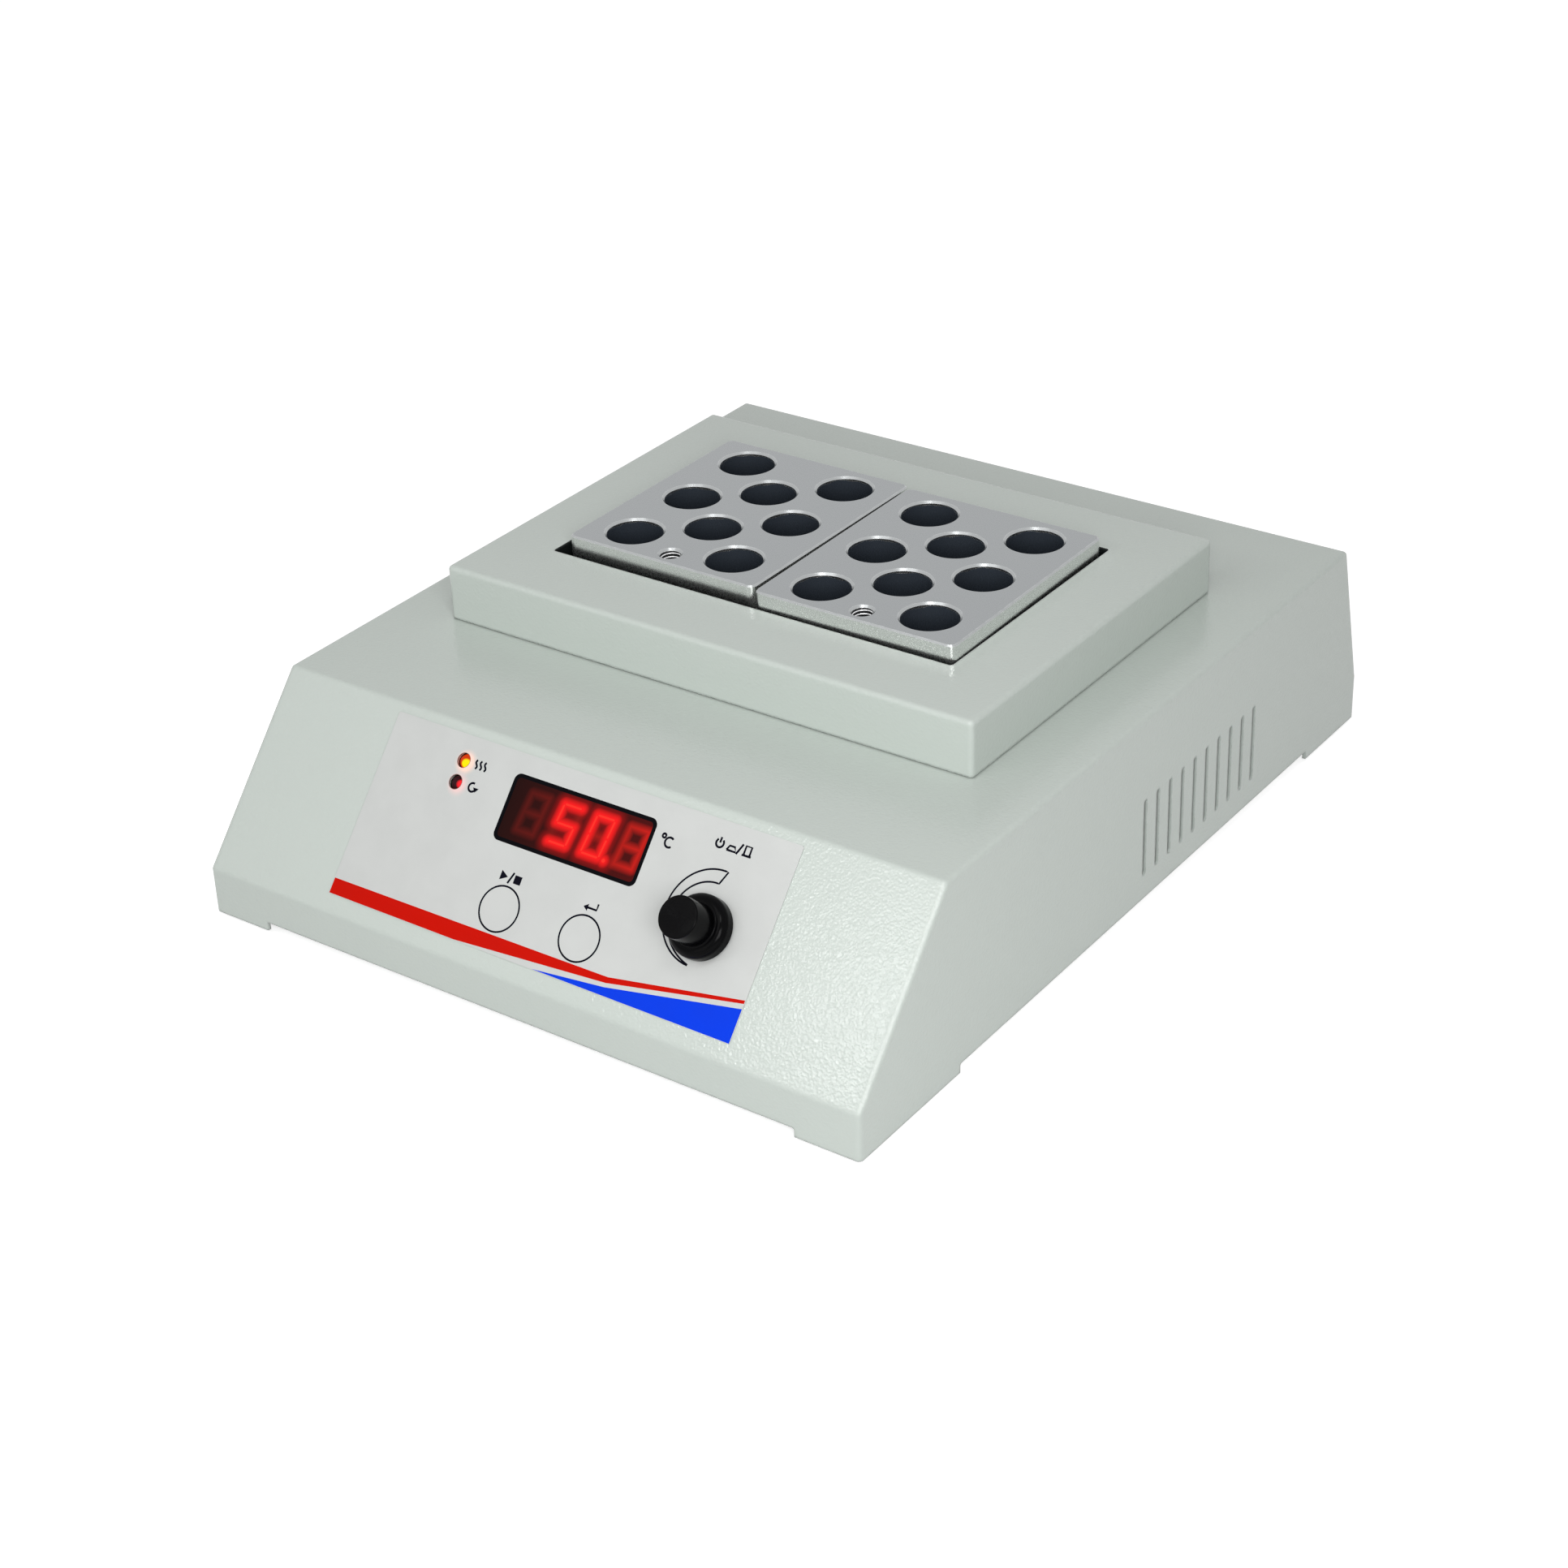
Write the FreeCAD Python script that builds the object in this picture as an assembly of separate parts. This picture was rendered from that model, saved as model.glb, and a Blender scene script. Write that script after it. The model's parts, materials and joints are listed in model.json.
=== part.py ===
import FreeCAD, Part
import math
import os

# A two-block dry bath incubator: a folded sheet-metal case with a sloping front panel, a raised
# surround on top, and two drilled aluminium blocks standing on a heated plate in the well.
# Frame: millimetres, +Z up, X to the right, -Y is the front. The origin is under the middle of
# the case, on the surface that the rubber feet stand on.

V = FreeCAD.Vector

# Case
case_width = 246.6
case_depth = 304.0
case_height = 67.8
strip_height = 15.9
front_setback = 45.4
rear_setback = 12.4
sheet = 1.2
bend_radius = 1.5
foot_drop = 1.5
skirt_notch = 3.0
front_tab_width = 22.5
side_tab_front = 51.5
side_tab_rear = 36.0
notch_corner = 0.8

# Vent slots in both sides
vent_count = 10
vent_pitch = 7.82
vent_width = 2.0
vent_length = 27.2
first_vent = 157.8
vent_bottom = 11.4

# Opening in the top, and the raised surround with its four margins round the opening
opening_width = 152.9
opening_length = 93.7
opening_shift = -1.65
opening_corner = 1.0
opening_lip = 5.0
surround_height = 19.0
surround_left = 22.5
surround_right = 24.0
surround_front = 26.7
surround_rear = 23.9
surround_flange = 9.0
surround_seam = 0.4
top_front_share = 0.5083

# Heating blocks, sized from the opening less the gaps round them
block_side_gap = 4.2
block_middle_gap = 1.1
block_far_gap = 0.8
block_end_slack = 4.5
block_height = 50.0
block_proud = 5.4
block_corner = 2.5
block_edge = 0.5
left_block_gap = 3.0
right_block_gap = 1.4
right_block_yaw = 0.5
well_bore = 18.6
well_chamfer = 0.7
well_depth = 43.5
well_side_inset = 16.85
well_end_inset = 13.5
lift_bore = 6.8
lift_chamfer = 0.7
lift_depth = 14.0
lift_inset = 6.2

# Well under the opening
liner_wall = 1.0
liner_flange = 8.0
liner_gap = 0.3
case_cut_gap = 0.8
plate_thickness = 10.0
plate_margin = 9.0
plate_front_margin = 20.0
mat_thickness = 1.5
clamp_thickness = 1.5
insulation_thickness = 14.0
stud_diameter = 4.0
stud_inset = 12.0
stud_engagement = 6.0
stud_nut_height = 3.0
stud_gap = 0.05
pillar_flats = 7.0
pillar_inset = 4.5
cutout_diameter = 16.0
cutout_height = 10.0
cutout_x = 30.0
probe_diameter = 4.0
probe_length = 28.0
probe_depth = 22.0
probe_x = -30.0
probe_lead_v = 36.0
probe_lead_run = 14.0
probe_lead_drop = 12.0

# Base plate and feet
base_sheet = 1.2
base_gap = 0.3
ledge_width = 12.0
ledge_end_inset = 34.0
base_screw_inset = 6.0
base_screw_end_inset = 18.0
foot_diameter = 18.0
foot_taper = 1.0
foot_inset = 24.0
foot_recess = 4.6
foot_recess_depth = 2.2
floor_slot_count = 8
floor_slot_pitch = 9.0
floor_slot_width = 3.0
floor_slot_length = 40.0
floor_slot_side_inset = 20.3
floor_slot_rear_inset = 56.0

# Screws
m3 = 3.0
m4 = 4.0
screw_clearance = 0.4
m3_head = 5.6
m3_head_height = 1.8
m4_head = 7.6
m4_head_height = 2.0
screw_reach = 6.0

# Front panel film and what it covers, measured up the slope from the strip's top line
film_width = 152.3
film_length = 60.0
film_shift = 0.5
film_base = 5.8
film_thickness = 0.4
film_corner = 0.8
window_width = 53.7
window_height = 21.3
window_x = 0.9
window_v = 49.0
window_corner = 2.3
window_fit = 0.05
led_x = -46.0
led_v = 57.8
led_pitch = 7.0
led_hole = 4.6
led_diameter = 5.0
led_collar = 5.8
led_collar_height = 1.0
led_case_gap = 0.3
key_left_x = -14.0
key_right_x = 16.4
key_v = 19.2
key_opening = 14.3
key_gap = 0.35
key_travel = 0.3
key_stem = 3.4
key_spare_gap = 0.02
key_case_gap = 0.4

# Display and control board behind the slope
display_length = 50.3
display_height = 19.0
display_depth = 8.0
display_gap = 0.3
display_edge = 0.4
board_left = -58.0
board_right = 42.0
board_low = 8.0
board_high = 63.0
board_thickness = 1.6
board_hole_inset = 4.0
spacer_flats = 5.5
tact_size = 6.0
tact_height = 3.5

# Push switch with its turning control and the knob
knob_x = 55.4
knob_v = 34.2
knob_gap = 0.8
knob_skirt = 19.5
knob_rim = 2.6
knob_dome = 2.6
knob_neck = 0.5
knob_grip = 13.2
knob_tip = 12.8
knob_height = 15.3
knob_edge = 0.5
knob_hollow = 12.6
knob_hollow_depth = 2.6
knob_throat = 8.4
knob_throat_depth = 4.6
knob_push = 2.5
shaft_diameter = 6.0
shaft_gap = 0.05
shaft_grip = 8.0
bushing_diameter = 7.0
bushing_reach = 4.4
bushing_gap = 0.2
nut_flats = 10.0
nut_height = 2.2
control_size = 17.0
control_depth = 27.0
control_edge = 1.0
plunger_diameter = 10.0
plunger_length = 6.0
plunger_gap = 0.3
plunger_back = 3.0
collar_diameter = 8.4
collar_length = 1.2

# Mains inlet on the rear slope
inlet_from_board = -17.0
inlet_v = 28.0
inlet_flange_width = 50.0
inlet_flange_height = 33.0
inlet_flange = 2.5
inlet_flange_corner = 3.0
inlet_flange_edge = 0.5
inlet_body_width = 28.0
inlet_body_height = 31.0
inlet_body_depth = 26.0
inlet_cut_gap = 0.3
inlet_screw_pitch = 40.0
socket_width = 24.4
socket_height = 16.6
socket_depth = 17.0
socket_chamfer = 4.0
socket_v = -5.0
inlet_pin_width = 4.0
inlet_pin_height = 2.0
inlet_pin_length = 14.5
inlet_pin_pitch = 7.0
inlet_pin_drop = 4.0
inlet_tab_length = 8.0
inlet_tab_thickness = 0.8
bay_width = 25.0
bay_height = 8.4
bay_depth = 22.0
bay_v = 9.6
drawer_gap = 0.3
drawer_face = 1.6
drawer_floor = 1.2
drawer_grip = 1.2
fuse_diameter = 5.2
fuse_length = 20.0
fuse_pitch = 7.0
fuse_first = 5.5
fuse_cap_length = 5.0
fuse_cap_wall = 0.2

# Power board on the floor of the case, behind the heated plate, and the parts along it
power_left_inset = 28.3
power_plate_gap = 9.4
power_rear_gap = 12.8
power_width = 100.0
power_lift = 8.0
power_hole_inset = 4.0
transformer_from_board = 25.0
transformer_width = 33.0
transformer_share = 0.52
transformer_height = 27.0
transformer_core = 7.0
transformer_corner = 2.0
sink_from_board = -41.0
sink_width = 16.0
sink_share = 0.555
sink_height = 20.0
sink_fins = 4
sink_fin = 1.4
sink_foot = 3.0
terminal_from_board = -11.0
terminal_width = 30.0
terminal_depth = 10.0
terminal_height = 11.0
terminal_ways = 6
terminal_screw_share = 0.7
terminal_screw_depth = 2.5
earth_left_inset = 21.3
earth_from_board = -11.0
earth_height = 14.0

# Leads
mains_lead = 2.4
heater_lead = 2.6
probe_lead = 2.8
earth_wire = 2.4
control_wires = 4.0
loom_from_board = 35.0
loom_v = 28.0
lead_bend_share = 0.45
mains_lead_rise = 2.8
mains_lead_step = 2.0
mains_lead_gap = 1.6
heater_lead_run = 12.0
heater_lead_rise = 12.0
heater_lead_inset = 22.1

# Levels and places that follow from the sizes above
case_front = -case_depth / 2
case_floor = foot_drop
strip_top = case_floor + strip_height
case_top = case_floor + case_height
base_bottom = foot_drop + skirt_notch
base_top = base_bottom + base_sheet
surround_top = case_top + surround_height
block_top = surround_top + block_proud
block_bottom = block_top - block_height
plate_bottom = block_bottom - plate_thickness
mat_bottom = plate_bottom - mat_thickness
clamp_bottom = mat_bottom - clamp_thickness
insulation_bottom = clamp_bottom - insulation_thickness
slope_angle = math.degrees(math.atan2(case_height - strip_height, front_setback))
rear_angle = math.degrees(math.atan2(rear_setback, case_height - strip_height))
surround_width = surround_left + opening_width + surround_right
surround_length = surround_front + opening_length + surround_rear
surround_shift = opening_shift + (surround_right - surround_left) / 2
top_spare = case_depth - front_setback - rear_setback - surround_length
surround_y0 = case_front + front_setback + top_front_share * top_spare
surround_y = surround_y0 + surround_length / 2
opening_y0 = surround_y0 + surround_front
opening_y = opening_y0 + opening_length / 2
block_width = (opening_width - block_side_gap - block_middle_gap - block_far_gap) / 2
block_length = opening_length - block_end_slack
left_block_x = opening_shift - opening_width / 2 + block_side_gap + block_width / 2
right_block_x = opening_shift + opening_width / 2 - block_far_gap - block_width / 2
well_column = block_width - 2 * well_side_inset
well_row = block_length / 4 - well_end_inset / 2
ledge_length = case_depth - 2 * ledge_end_inset
base_screw_spacing = ledge_length / 2 - base_screw_end_inset
power_x = -case_width / 2 + power_left_inset + power_width / 2
power_front = opening_y0 + opening_length + plate_margin + power_plate_gap
power_depth = case_depth / 2 - sheet - power_rear_gap - power_front
power_y = power_front + power_depth / 2
power_bottom = base_top + power_lift
power_top = power_bottom + board_thickness
transformer_x = power_x + transformer_from_board
sink_x = power_x + sink_from_board
sink_depth = sink_share * power_depth
terminal_x = power_x + terminal_from_board
terminal_y = power_front + terminal_depth
inlet_x = power_x + inlet_from_board
earth_x = -case_width / 2 + earth_left_inset
earth_y = power_y + earth_from_board
loom_x = power_x + loom_from_board
key_rest_gap = key_travel + key_spare_gap
board_front = -sheet - display_gap - display_depth
key_disc = key_opening - 2 * key_gap


def box(x0, x1, y0, y1, z0, z1):
    """A block between two corners."""
    return Part.makeBox(x1 - x0, y1 - y0, z1 - z0, V(x0, y0, z0))


def centred(x, y, z0, width, length, height):
    """A block that stands on z0, centred on x, y."""
    return Part.makeBox(width, length, height, V(x - width / 2, y - length / 2, z0))


def rod(x, y, z0, diameter, height):
    """A round bar that stands on z0."""
    return Part.makeCylinder(diameter / 2, height, V(x, y, z0))


def hexagon(x, y, z0, flats, height):
    """A hexagonal bar that stands on z0, by its width across flats."""
    reach = flats / math.sqrt(3)
    points = [V(x + reach * math.cos(math.radians(60 * i)), y + reach * math.sin(math.radians(60 * i)), z0)
              for i in range(6)]
    return Part.Face(Part.makePolygon(points + points[:1])).extrude(V(0, 0, height))


def upright_edges(shape):
    """The straight edges of a shape that run along Z."""
    return [edge for edge in shape.Edges
            if abs(edge.tangentAt(edge.FirstParameter).z) > 0.999 and len(edge.Vertexes) == 2]


def rounded(x, y, z0, width, length, height, corner):
    """A centred block with rounded upright corners."""
    block = centred(x, y, z0, width, length, height)
    return block.makeFillet(corner, upright_edges(block))


def slot_cutter(y, z0, width, length, x0, x1):
    """A slot with round ends that runs up Z and cuts along X."""
    radius = width / 2
    low = Part.makeCylinder(radius, x1 - x0, V(x0, y, z0 + radius), V(1, 0, 0))
    high = Part.makeCylinder(radius, x1 - x0, V(x0, y, z0 + length - radius), V(1, 0, 0))
    return box(x0, x1, y - radius, y + radius, z0 + radius, z0 + length - radius).fuse([low, high])


def pan_screw(x, y, seat, head, head_height, shank, reach):
    """A screw that comes up through z = seat, with its head under it."""
    low = seat - head_height
    return rod(x, y, low, head, head_height).fuse(rod(x, y, low, shank, head_height + reach)).removeSplitter()


def ring_edge(shape, z, radius):
    """The round edge of a shape that lies at a height and has a radius."""
    rings = [edge for edge in shape.Edges if edge.Curve.TypeId == "Part::GeomCircle"]
    return [edge for edge in rings if abs(edge.Curve.Center.z - z) + abs(edge.Curve.Radius - radius) < 0.001]


def on_slope(shape):
    """Carries a shape from panel axes (across, up the slope, outwards) to the front slope."""
    seat = FreeCAD.Placement(V(0, case_front, strip_top), FreeCAD.Rotation(V(1, 0, 0), slope_angle))
    shape.Placement = seat.multiply(shape.Placement)
    return baked(shape)


def on_rear(shape):
    """Carries a shape from panel axes to the rear slope, with its outward side facing +Y."""
    turn = FreeCAD.Rotation(V(0, 0, 1), 180).multiply(FreeCAD.Rotation(V(1, 0, 0), 90 - rear_angle))
    seat = FreeCAD.Placement(V(inlet_x, case_depth / 2, strip_top), turn)
    shape.Placement = seat.multiply(shape.Placement)
    return baked(shape)


def baked(shape):
    """The same shape with its placement worked into its geometry."""
    matrix = shape.Placement.toMatrix()
    shape.Placement = FreeCAD.Placement()
    return shape.transformGeometry(matrix) if shape.ShapeType == "Compound" else shape.transformed(matrix, True)


def group(shapes):
    """Several separate solids kept in one node."""
    return Part.makeCompound(shapes)


def lead(points, diameter):
    """A wire along straight runs joined by tangent arcs."""
    edges = []
    start = points[0]
    for before, corner, after in zip(points, points[1:], points[2:]):
        way_in = (corner - before).normalize()
        way_out = (after - corner).normalize()
        half_turn = way_in.getAngle(way_out) / 2
        trim = lead_bend_share * min((corner - before).Length, (after - corner).Length)
        radius = trim / math.tan(half_turn)
        centre_way = (way_out - way_in).normalize()
        centre = corner + centre_way * (radius / math.cos(half_turn))
        arc_start = corner - way_in * trim
        arc_end = corner + way_out * trim
        arc_mid = centre - centre_way * radius
        edges.append(Part.LineSegment(start, arc_start).toShape())
        edges.append(Part.Arc(arc_start, arc_mid, arc_end).toShape())
        start = arc_end
    edges.append(Part.LineSegment(start, points[-1]).toShape())
    path = Part.Wire(edges)
    ring = Part.Wire(Part.makeCircle(diameter / 2, points[0], points[1] - points[0]))
    return path.makePipeShell([ring], True, True)


def case_profile(drop):
    """The six-sided side view of the case, its floor lowered by drop."""
    back = case_depth / 2
    points = [
        V(0, case_front, case_floor - drop),
        V(0, case_front, strip_top),
        V(0, case_front + front_setback, case_top),
        V(0, back - rear_setback, case_top),
        V(0, back, strip_top),
        V(0, back, case_floor - drop),
    ]
    return Part.makePolygon(points + points[:1])


def case_hollow():
    """The space inside the case's walls."""
    inner = case_profile(3 * sheet).makeOffset2D(-sheet, 2)
    hollow = Part.Face(inner).extrude(V(case_width - 2 * sheet, 0, 0))
    hollow.translate(V(-case_width / 2 + sheet, 0, 0))
    return hollow


def case_outside():
    """The case as a solid body with its bends and ground corners rounded."""
    body = Part.Face(case_profile(0)).extrude(V(case_width, 0, 0))
    body.translate(V(-case_width / 2, 0, 0))
    bends = [edge for edge in body.Edges if edge.CenterOfMass.z > case_floor + sheet / 2]
    return body.makeFillet(bend_radius, bends)


def skirt_cutters():
    """The four shallow notches that leave a tab at each bottom corner."""
    reach = 4 * sheet
    across = centred(0, 0, case_floor - reach, case_width - 2 * front_tab_width, case_depth + reach,
                     skirt_notch + reach)
    y0 = case_front + side_tab_front
    y1 = case_depth / 2 - side_tab_rear
    along = box(-case_width / 2 - reach, case_width / 2 + reach, y0, y1, case_floor - reach,
                case_floor + skirt_notch)
    rounded_across = across.makeFillet(notch_corner, [e for e in across.Edges if is_top_notch_edge(e, 1)])
    rounded_along = along.makeFillet(notch_corner, [e for e in along.Edges if is_top_notch_edge(e, 0)])
    return [rounded_across, rounded_along]


def is_top_notch_edge(edge, axis):
    """True for a notch cutter's upper edges that run along the given axis, 0 for X and 1 for Y."""
    way = edge.tangentAt(edge.FirstParameter)
    runs_along = abs((way.x, way.y)[axis]) > 0.999
    return runs_along and abs(edge.CenterOfMass.z - case_floor - skirt_notch) < 0.001


def vent_cutters():
    """The rows of slots through both sides."""
    z0 = case_floor + vent_bottom
    reach = case_width / 2 + sheet
    inner = case_width / 2 - 2 * sheet
    cutters = []
    for i in range(vent_count):
        y = case_front + first_vent + i * vent_pitch
        cutters.append(slot_cutter(y, z0, vent_width, vent_length, inner, reach))
        cutters.append(slot_cutter(y, z0, vent_width, vent_length, -reach, -inner))
    return cutters


def panel_cutters():
    """The holes in the front slope: window, lamps, keys, board spacers and the control."""
    depth = 3 * sheet
    window = rounded(window_x, window_v, -depth, window_width, window_height, 2 * depth, window_corner)
    cutters = [window]
    for i in range(2):
        cutters.append(rod(led_x, led_v - i * led_pitch, -depth, led_diameter + 2 * led_case_gap, 2 * depth))
    for x in (key_left_x, key_right_x):
        cutters.append(rod(x, key_v, -depth, key_disc + 2 * key_case_gap, 2 * depth))
    cutters.append(rod(knob_x, knob_v, -depth, bushing_diameter + 2 * bushing_gap, 2 * depth))
    return [on_slope(cutter) for cutter in cutters]


def ledges():
    """The inward flanges that the base plate is screwed up against."""
    x = case_width / 2 - sheet
    y0 = -ledge_length / 2
    left = box(-x, -x + ledge_width, y0, -y0, base_top, base_top + sheet)
    right = box(x - ledge_width, x, y0, -y0, base_top, base_top + sheet)
    return [left, right]


def base_screw_places():
    """Where the base plate's screws stand."""
    x = case_width / 2 - sheet - base_screw_inset
    return [(side * x, row * base_screw_spacing) for side in (-1, 1) for row in (-1, 0, 1)]


def surround_screw_places():
    """Where the surround's screws come up through the case top."""
    x = surround_width / 2 - sheet - surround_flange / 2
    y = surround_length / 4
    return [(surround_shift + side * x, surround_y + row * y) for side in (-1, 1) for row in (-1, 1)]


def inlet_case_cutters():
    """The inlet's rectangular hole and its two screw holes in the rear slope."""
    depth = 3 * sheet
    hole = centred(0, inlet_v, -depth, inlet_body_width + 2 * inlet_cut_gap,
                   inlet_body_height + 2 * inlet_cut_gap, 2 * depth)
    screws = [rod(side * inlet_screw_pitch / 2, inlet_v, -depth, m3 + 2 * stud_gap, 2 * depth)
              for side in (-1, 1)]
    return [on_rear(cutter) for cutter in [hole] + screws]


def case_shell():
    """The folded and welded case: six-sided in side view, open underneath."""
    shell = case_outside().cut(case_hollow())
    well = centred(opening_shift, opening_y, case_top - 2 * sheet, liner_outer_width() + 2 * case_cut_gap,
                   liner_outer_length() + 2 * case_cut_gap, 4 * sheet)
    cutters = skirt_cutters() + vent_cutters() + panel_cutters() + inlet_case_cutters() + [well]
    for x, y in surround_screw_places():
        cutters.append(rod(x, y, case_top - 2 * sheet, m3 + screw_clearance, 4 * sheet))
    shell = shell.cut(cutters)
    shell = shell.fuse(ledges())
    holes = [rod(x, y, base_top - sheet, m3 + 2 * stud_gap, 3 * sheet) for x, y in base_screw_places()]
    return shell.cut(holes).removeSplitter()


def block_surround():
    """The raised box cover round the opening, with lips folded down inside it."""
    skirt = case_top + surround_seam
    outer = centred(surround_shift, surround_y, skirt, surround_width, surround_length, surround_top - skirt)
    edges = [edge for edge in outer.Edges if edge.CenterOfMass.z > skirt + sheet]
    outer = outer.makeFillet(bend_radius, edges)
    inner = centred(surround_shift, surround_y, case_top - sheet, surround_width - 2 * sheet,
                    surround_length - 2 * sheet, surround_height)
    lip = rounded(opening_shift, opening_y, surround_top - sheet - opening_lip, opening_width + 2 * sheet,
                  opening_length + 2 * sheet, sheet + opening_lip, opening_corner + sheet)
    hole = rounded(opening_shift, opening_y, case_top, opening_width, opening_length, 2 * surround_height,
                   opening_corner)
    x = surround_width / 2 - sheet
    y = surround_length / 2 - sheet
    left = box(surround_shift - x, surround_shift - x + surround_flange, surround_y - y, surround_y + y,
               case_top, case_top + sheet)
    right = box(surround_shift + x - surround_flange, surround_shift + x, surround_y - y, surround_y + y,
                case_top, case_top + sheet)
    cover = outer.cut(inner).fuse([lip, left, right]).cut(hole)
    screws = [rod(x, y, case_top - sheet, m3 + 2 * stud_gap, 3 * sheet) for x, y in surround_screw_places()]
    return cover.cut(screws).removeSplitter()


def liner_outer_width():
    """The well liner's width over its walls."""
    return opening_width + 2 * liner_wall


def liner_outer_length():
    """The well liner's length over its walls."""
    return opening_length + 2 * liner_wall


def well_liner():
    """The thin sheet well from the heated plate up to the surround's lips, hung on the case top."""
    top = surround_top - sheet - opening_lip - liner_gap
    wall = centred(opening_shift, opening_y, block_bottom, liner_outer_width(), liner_outer_length(),
                   top - block_bottom)
    flange = centred(opening_shift, opening_y, case_top, liner_outer_width() + 2 * liner_flange,
                     liner_outer_length() + 2 * liner_flange, liner_wall)
    hole = centred(opening_shift, opening_y, block_bottom, opening_width, opening_length, top - block_bottom)
    return wall.fuse(flange).cut(hole).removeSplitter()


def stud_places():
    """Where the studs hang down through the heater stack."""
    x = opening_width / 2 - stud_inset
    y = opening_length / 2 - stud_inset
    return [(opening_shift + i * x, opening_y + j * y) for i in (-1, 1) for j in (-1, 1)]


def plate_pillar_places():
    """Where the pillars carry the heated plate, in its margins."""
    x = opening_width / 2 + plate_margin - pillar_inset
    y = opening_length / 2 + plate_margin - pillar_inset
    return [(opening_shift + i * x, opening_y + j * y) for i in (-1, 1) for j in (-1, 1)]


def heater_plate():
    """The thick aluminium plate that the blocks stand on, with its stud and probe holes."""
    x0 = opening_shift - opening_width / 2 - plate_margin
    x1 = opening_shift + opening_width / 2 + plate_margin
    y0 = opening_y0 - plate_front_margin
    y1 = opening_y0 + opening_length + plate_margin
    plate = box(x0, x1, y0, y1, plate_bottom, block_bottom)
    cutters = [rod(x, y, plate_bottom, stud_diameter + 2 * stud_gap, stud_engagement)
               for x, y in stud_places()]
    probe_z = plate_bottom + plate_thickness / 2
    cutters.append(Part.makeCylinder(probe_diameter / 2 + stud_gap, probe_depth, V(probe_x, y0, probe_z),
                                     V(0, 1, 0)))
    return plate.cut(cutters)


def stack_layer(z0, thickness):
    """One flat layer under the plate, drilled for the studs."""
    layer = centred(opening_shift, opening_y, z0, opening_width, opening_length, thickness)
    holes = [rod(x, y, z0, stud_diameter + 2 * stud_gap, thickness) for x, y in stud_places()]
    return layer.cut(holes)


def stack_studs():
    """The studs and nuts that clamp the heater, its plate and the insulation."""
    studs = []
    for x, y in stud_places():
        low = insulation_bottom - 2 * stud_nut_height
        stud = rod(x, y, low, stud_diameter, plate_bottom + stud_engagement - low)
        nut = hexagon(x, y, insulation_bottom - stud_nut_height, pillar_flats, stud_nut_height)
        studs.append(stud.fuse(nut).removeSplitter())
    return group(studs)


def plate_pillars():
    """The hexagonal pillars between the base plate and the heated plate."""
    height = plate_bottom - base_top
    return group([hexagon(x, y, base_top, pillar_flats, height) for x, y in plate_pillar_places()])


def thermal_cutout():
    """The bimetal safety cut-out under the plate's front margin, with its two tags."""
    y = opening_y0 - plate_front_margin / 2
    can = rod(cutout_x, y, plate_bottom - cutout_height, cutout_diameter, cutout_height)
    edge = [e for e in can.Edges if abs(e.CenterOfMass.z - plate_bottom + cutout_height) < 0.001]
    can = can.makeFillet(bend_radius, [edge[0]])
    tags = [centred(cutout_x + side * cutout_diameter / 4, y, plate_bottom - 1.5 * cutout_height,
                    inlet_tab_thickness, cutout_diameter / 3, cutout_height) for side in (-1, 1)]
    return can.fuse(tags).removeSplitter()


def temperature_probe():
    """The probe pushed into the plate's front edge."""
    y = opening_y0 - plate_front_margin + probe_depth
    z = plate_bottom + plate_thickness / 2
    return Part.makeCylinder(probe_diameter / 2, probe_length, V(probe_x, y, z), V(0, -1, 0))


def heating_block():
    """One drilled block about its own middle: eight wells in staggered rows and a lifting hole."""
    block = centred(0, 0, block_bottom, block_width, block_length, block_height)
    block = block.makeFillet(block_corner, upright_edges(block))
    rim = [edge for edge in block.Edges if abs(edge.CenterOfMass.z - block_top) < 0.001]
    block = block.makeChamfer(block_edge, rim)
    cutters = [well_cutter(x, y) for x, y in well_places()]
    lift_y = -block_length / 2 + lift_inset
    cutters.append(rod(0, lift_y, block_top - lift_depth, lift_bore, lift_depth))
    cutters.append(Part.makeCone(lift_bore / 2, lift_bore / 2 + lift_chamfer, lift_chamfer,
                                 V(0, lift_y, block_top - lift_chamfer)))
    return block.cut(cutters)


def well_places():
    """The wells' places on a block: rows of two and one in turn."""
    places = []
    for row in range(-2, 3):
        if row % 2 == 0:
            places.append((-well_column / 2, row * well_row))
            places.append((well_column / 2, row * well_row))
        else:
            places.append((0, row * well_row))
    return places


def well_cutter(x, y):
    """One well: a flat-bottomed bore with a chamfered mouth."""
    bore = rod(x, y, block_top - well_depth, well_bore, well_depth)
    mouth = Part.makeCone(well_bore / 2, well_bore / 2 + well_chamfer, well_chamfer,
                          V(x, y, block_top - well_chamfer))
    return bore.fuse(mouth)


def placed_block(x, gap, yaw):
    """A block set down in the well, gap behind the opening's front edge."""
    block = heating_block()
    block.rotate(V(0, 0, 0), V(0, 0, 1), yaw)
    block.translate(V(x, opening_y0 + gap + block_length / 2, 0))
    return block


def base_plate():
    """The flat base with screw holes and cooling slots."""
    width = case_width - 2 * sheet - 2 * base_gap
    length = case_depth - 2 * sheet - 2 * base_gap
    plate = centred(0, 0, base_bottom, width, length, base_sheet)
    cutters = [rod(x, y, base_bottom, m3 + screw_clearance, base_sheet) for x, y in base_screw_places()]
    for x, y in foot_places():
        cutters.append(rod(x, y, base_bottom, m4 + screw_clearance, base_sheet))
    for i in range(floor_slot_count):
        cutters += floor_slot(case_width / 2 - floor_slot_side_inset - i * floor_slot_pitch)
    return plate.cut(cutters)


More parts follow.
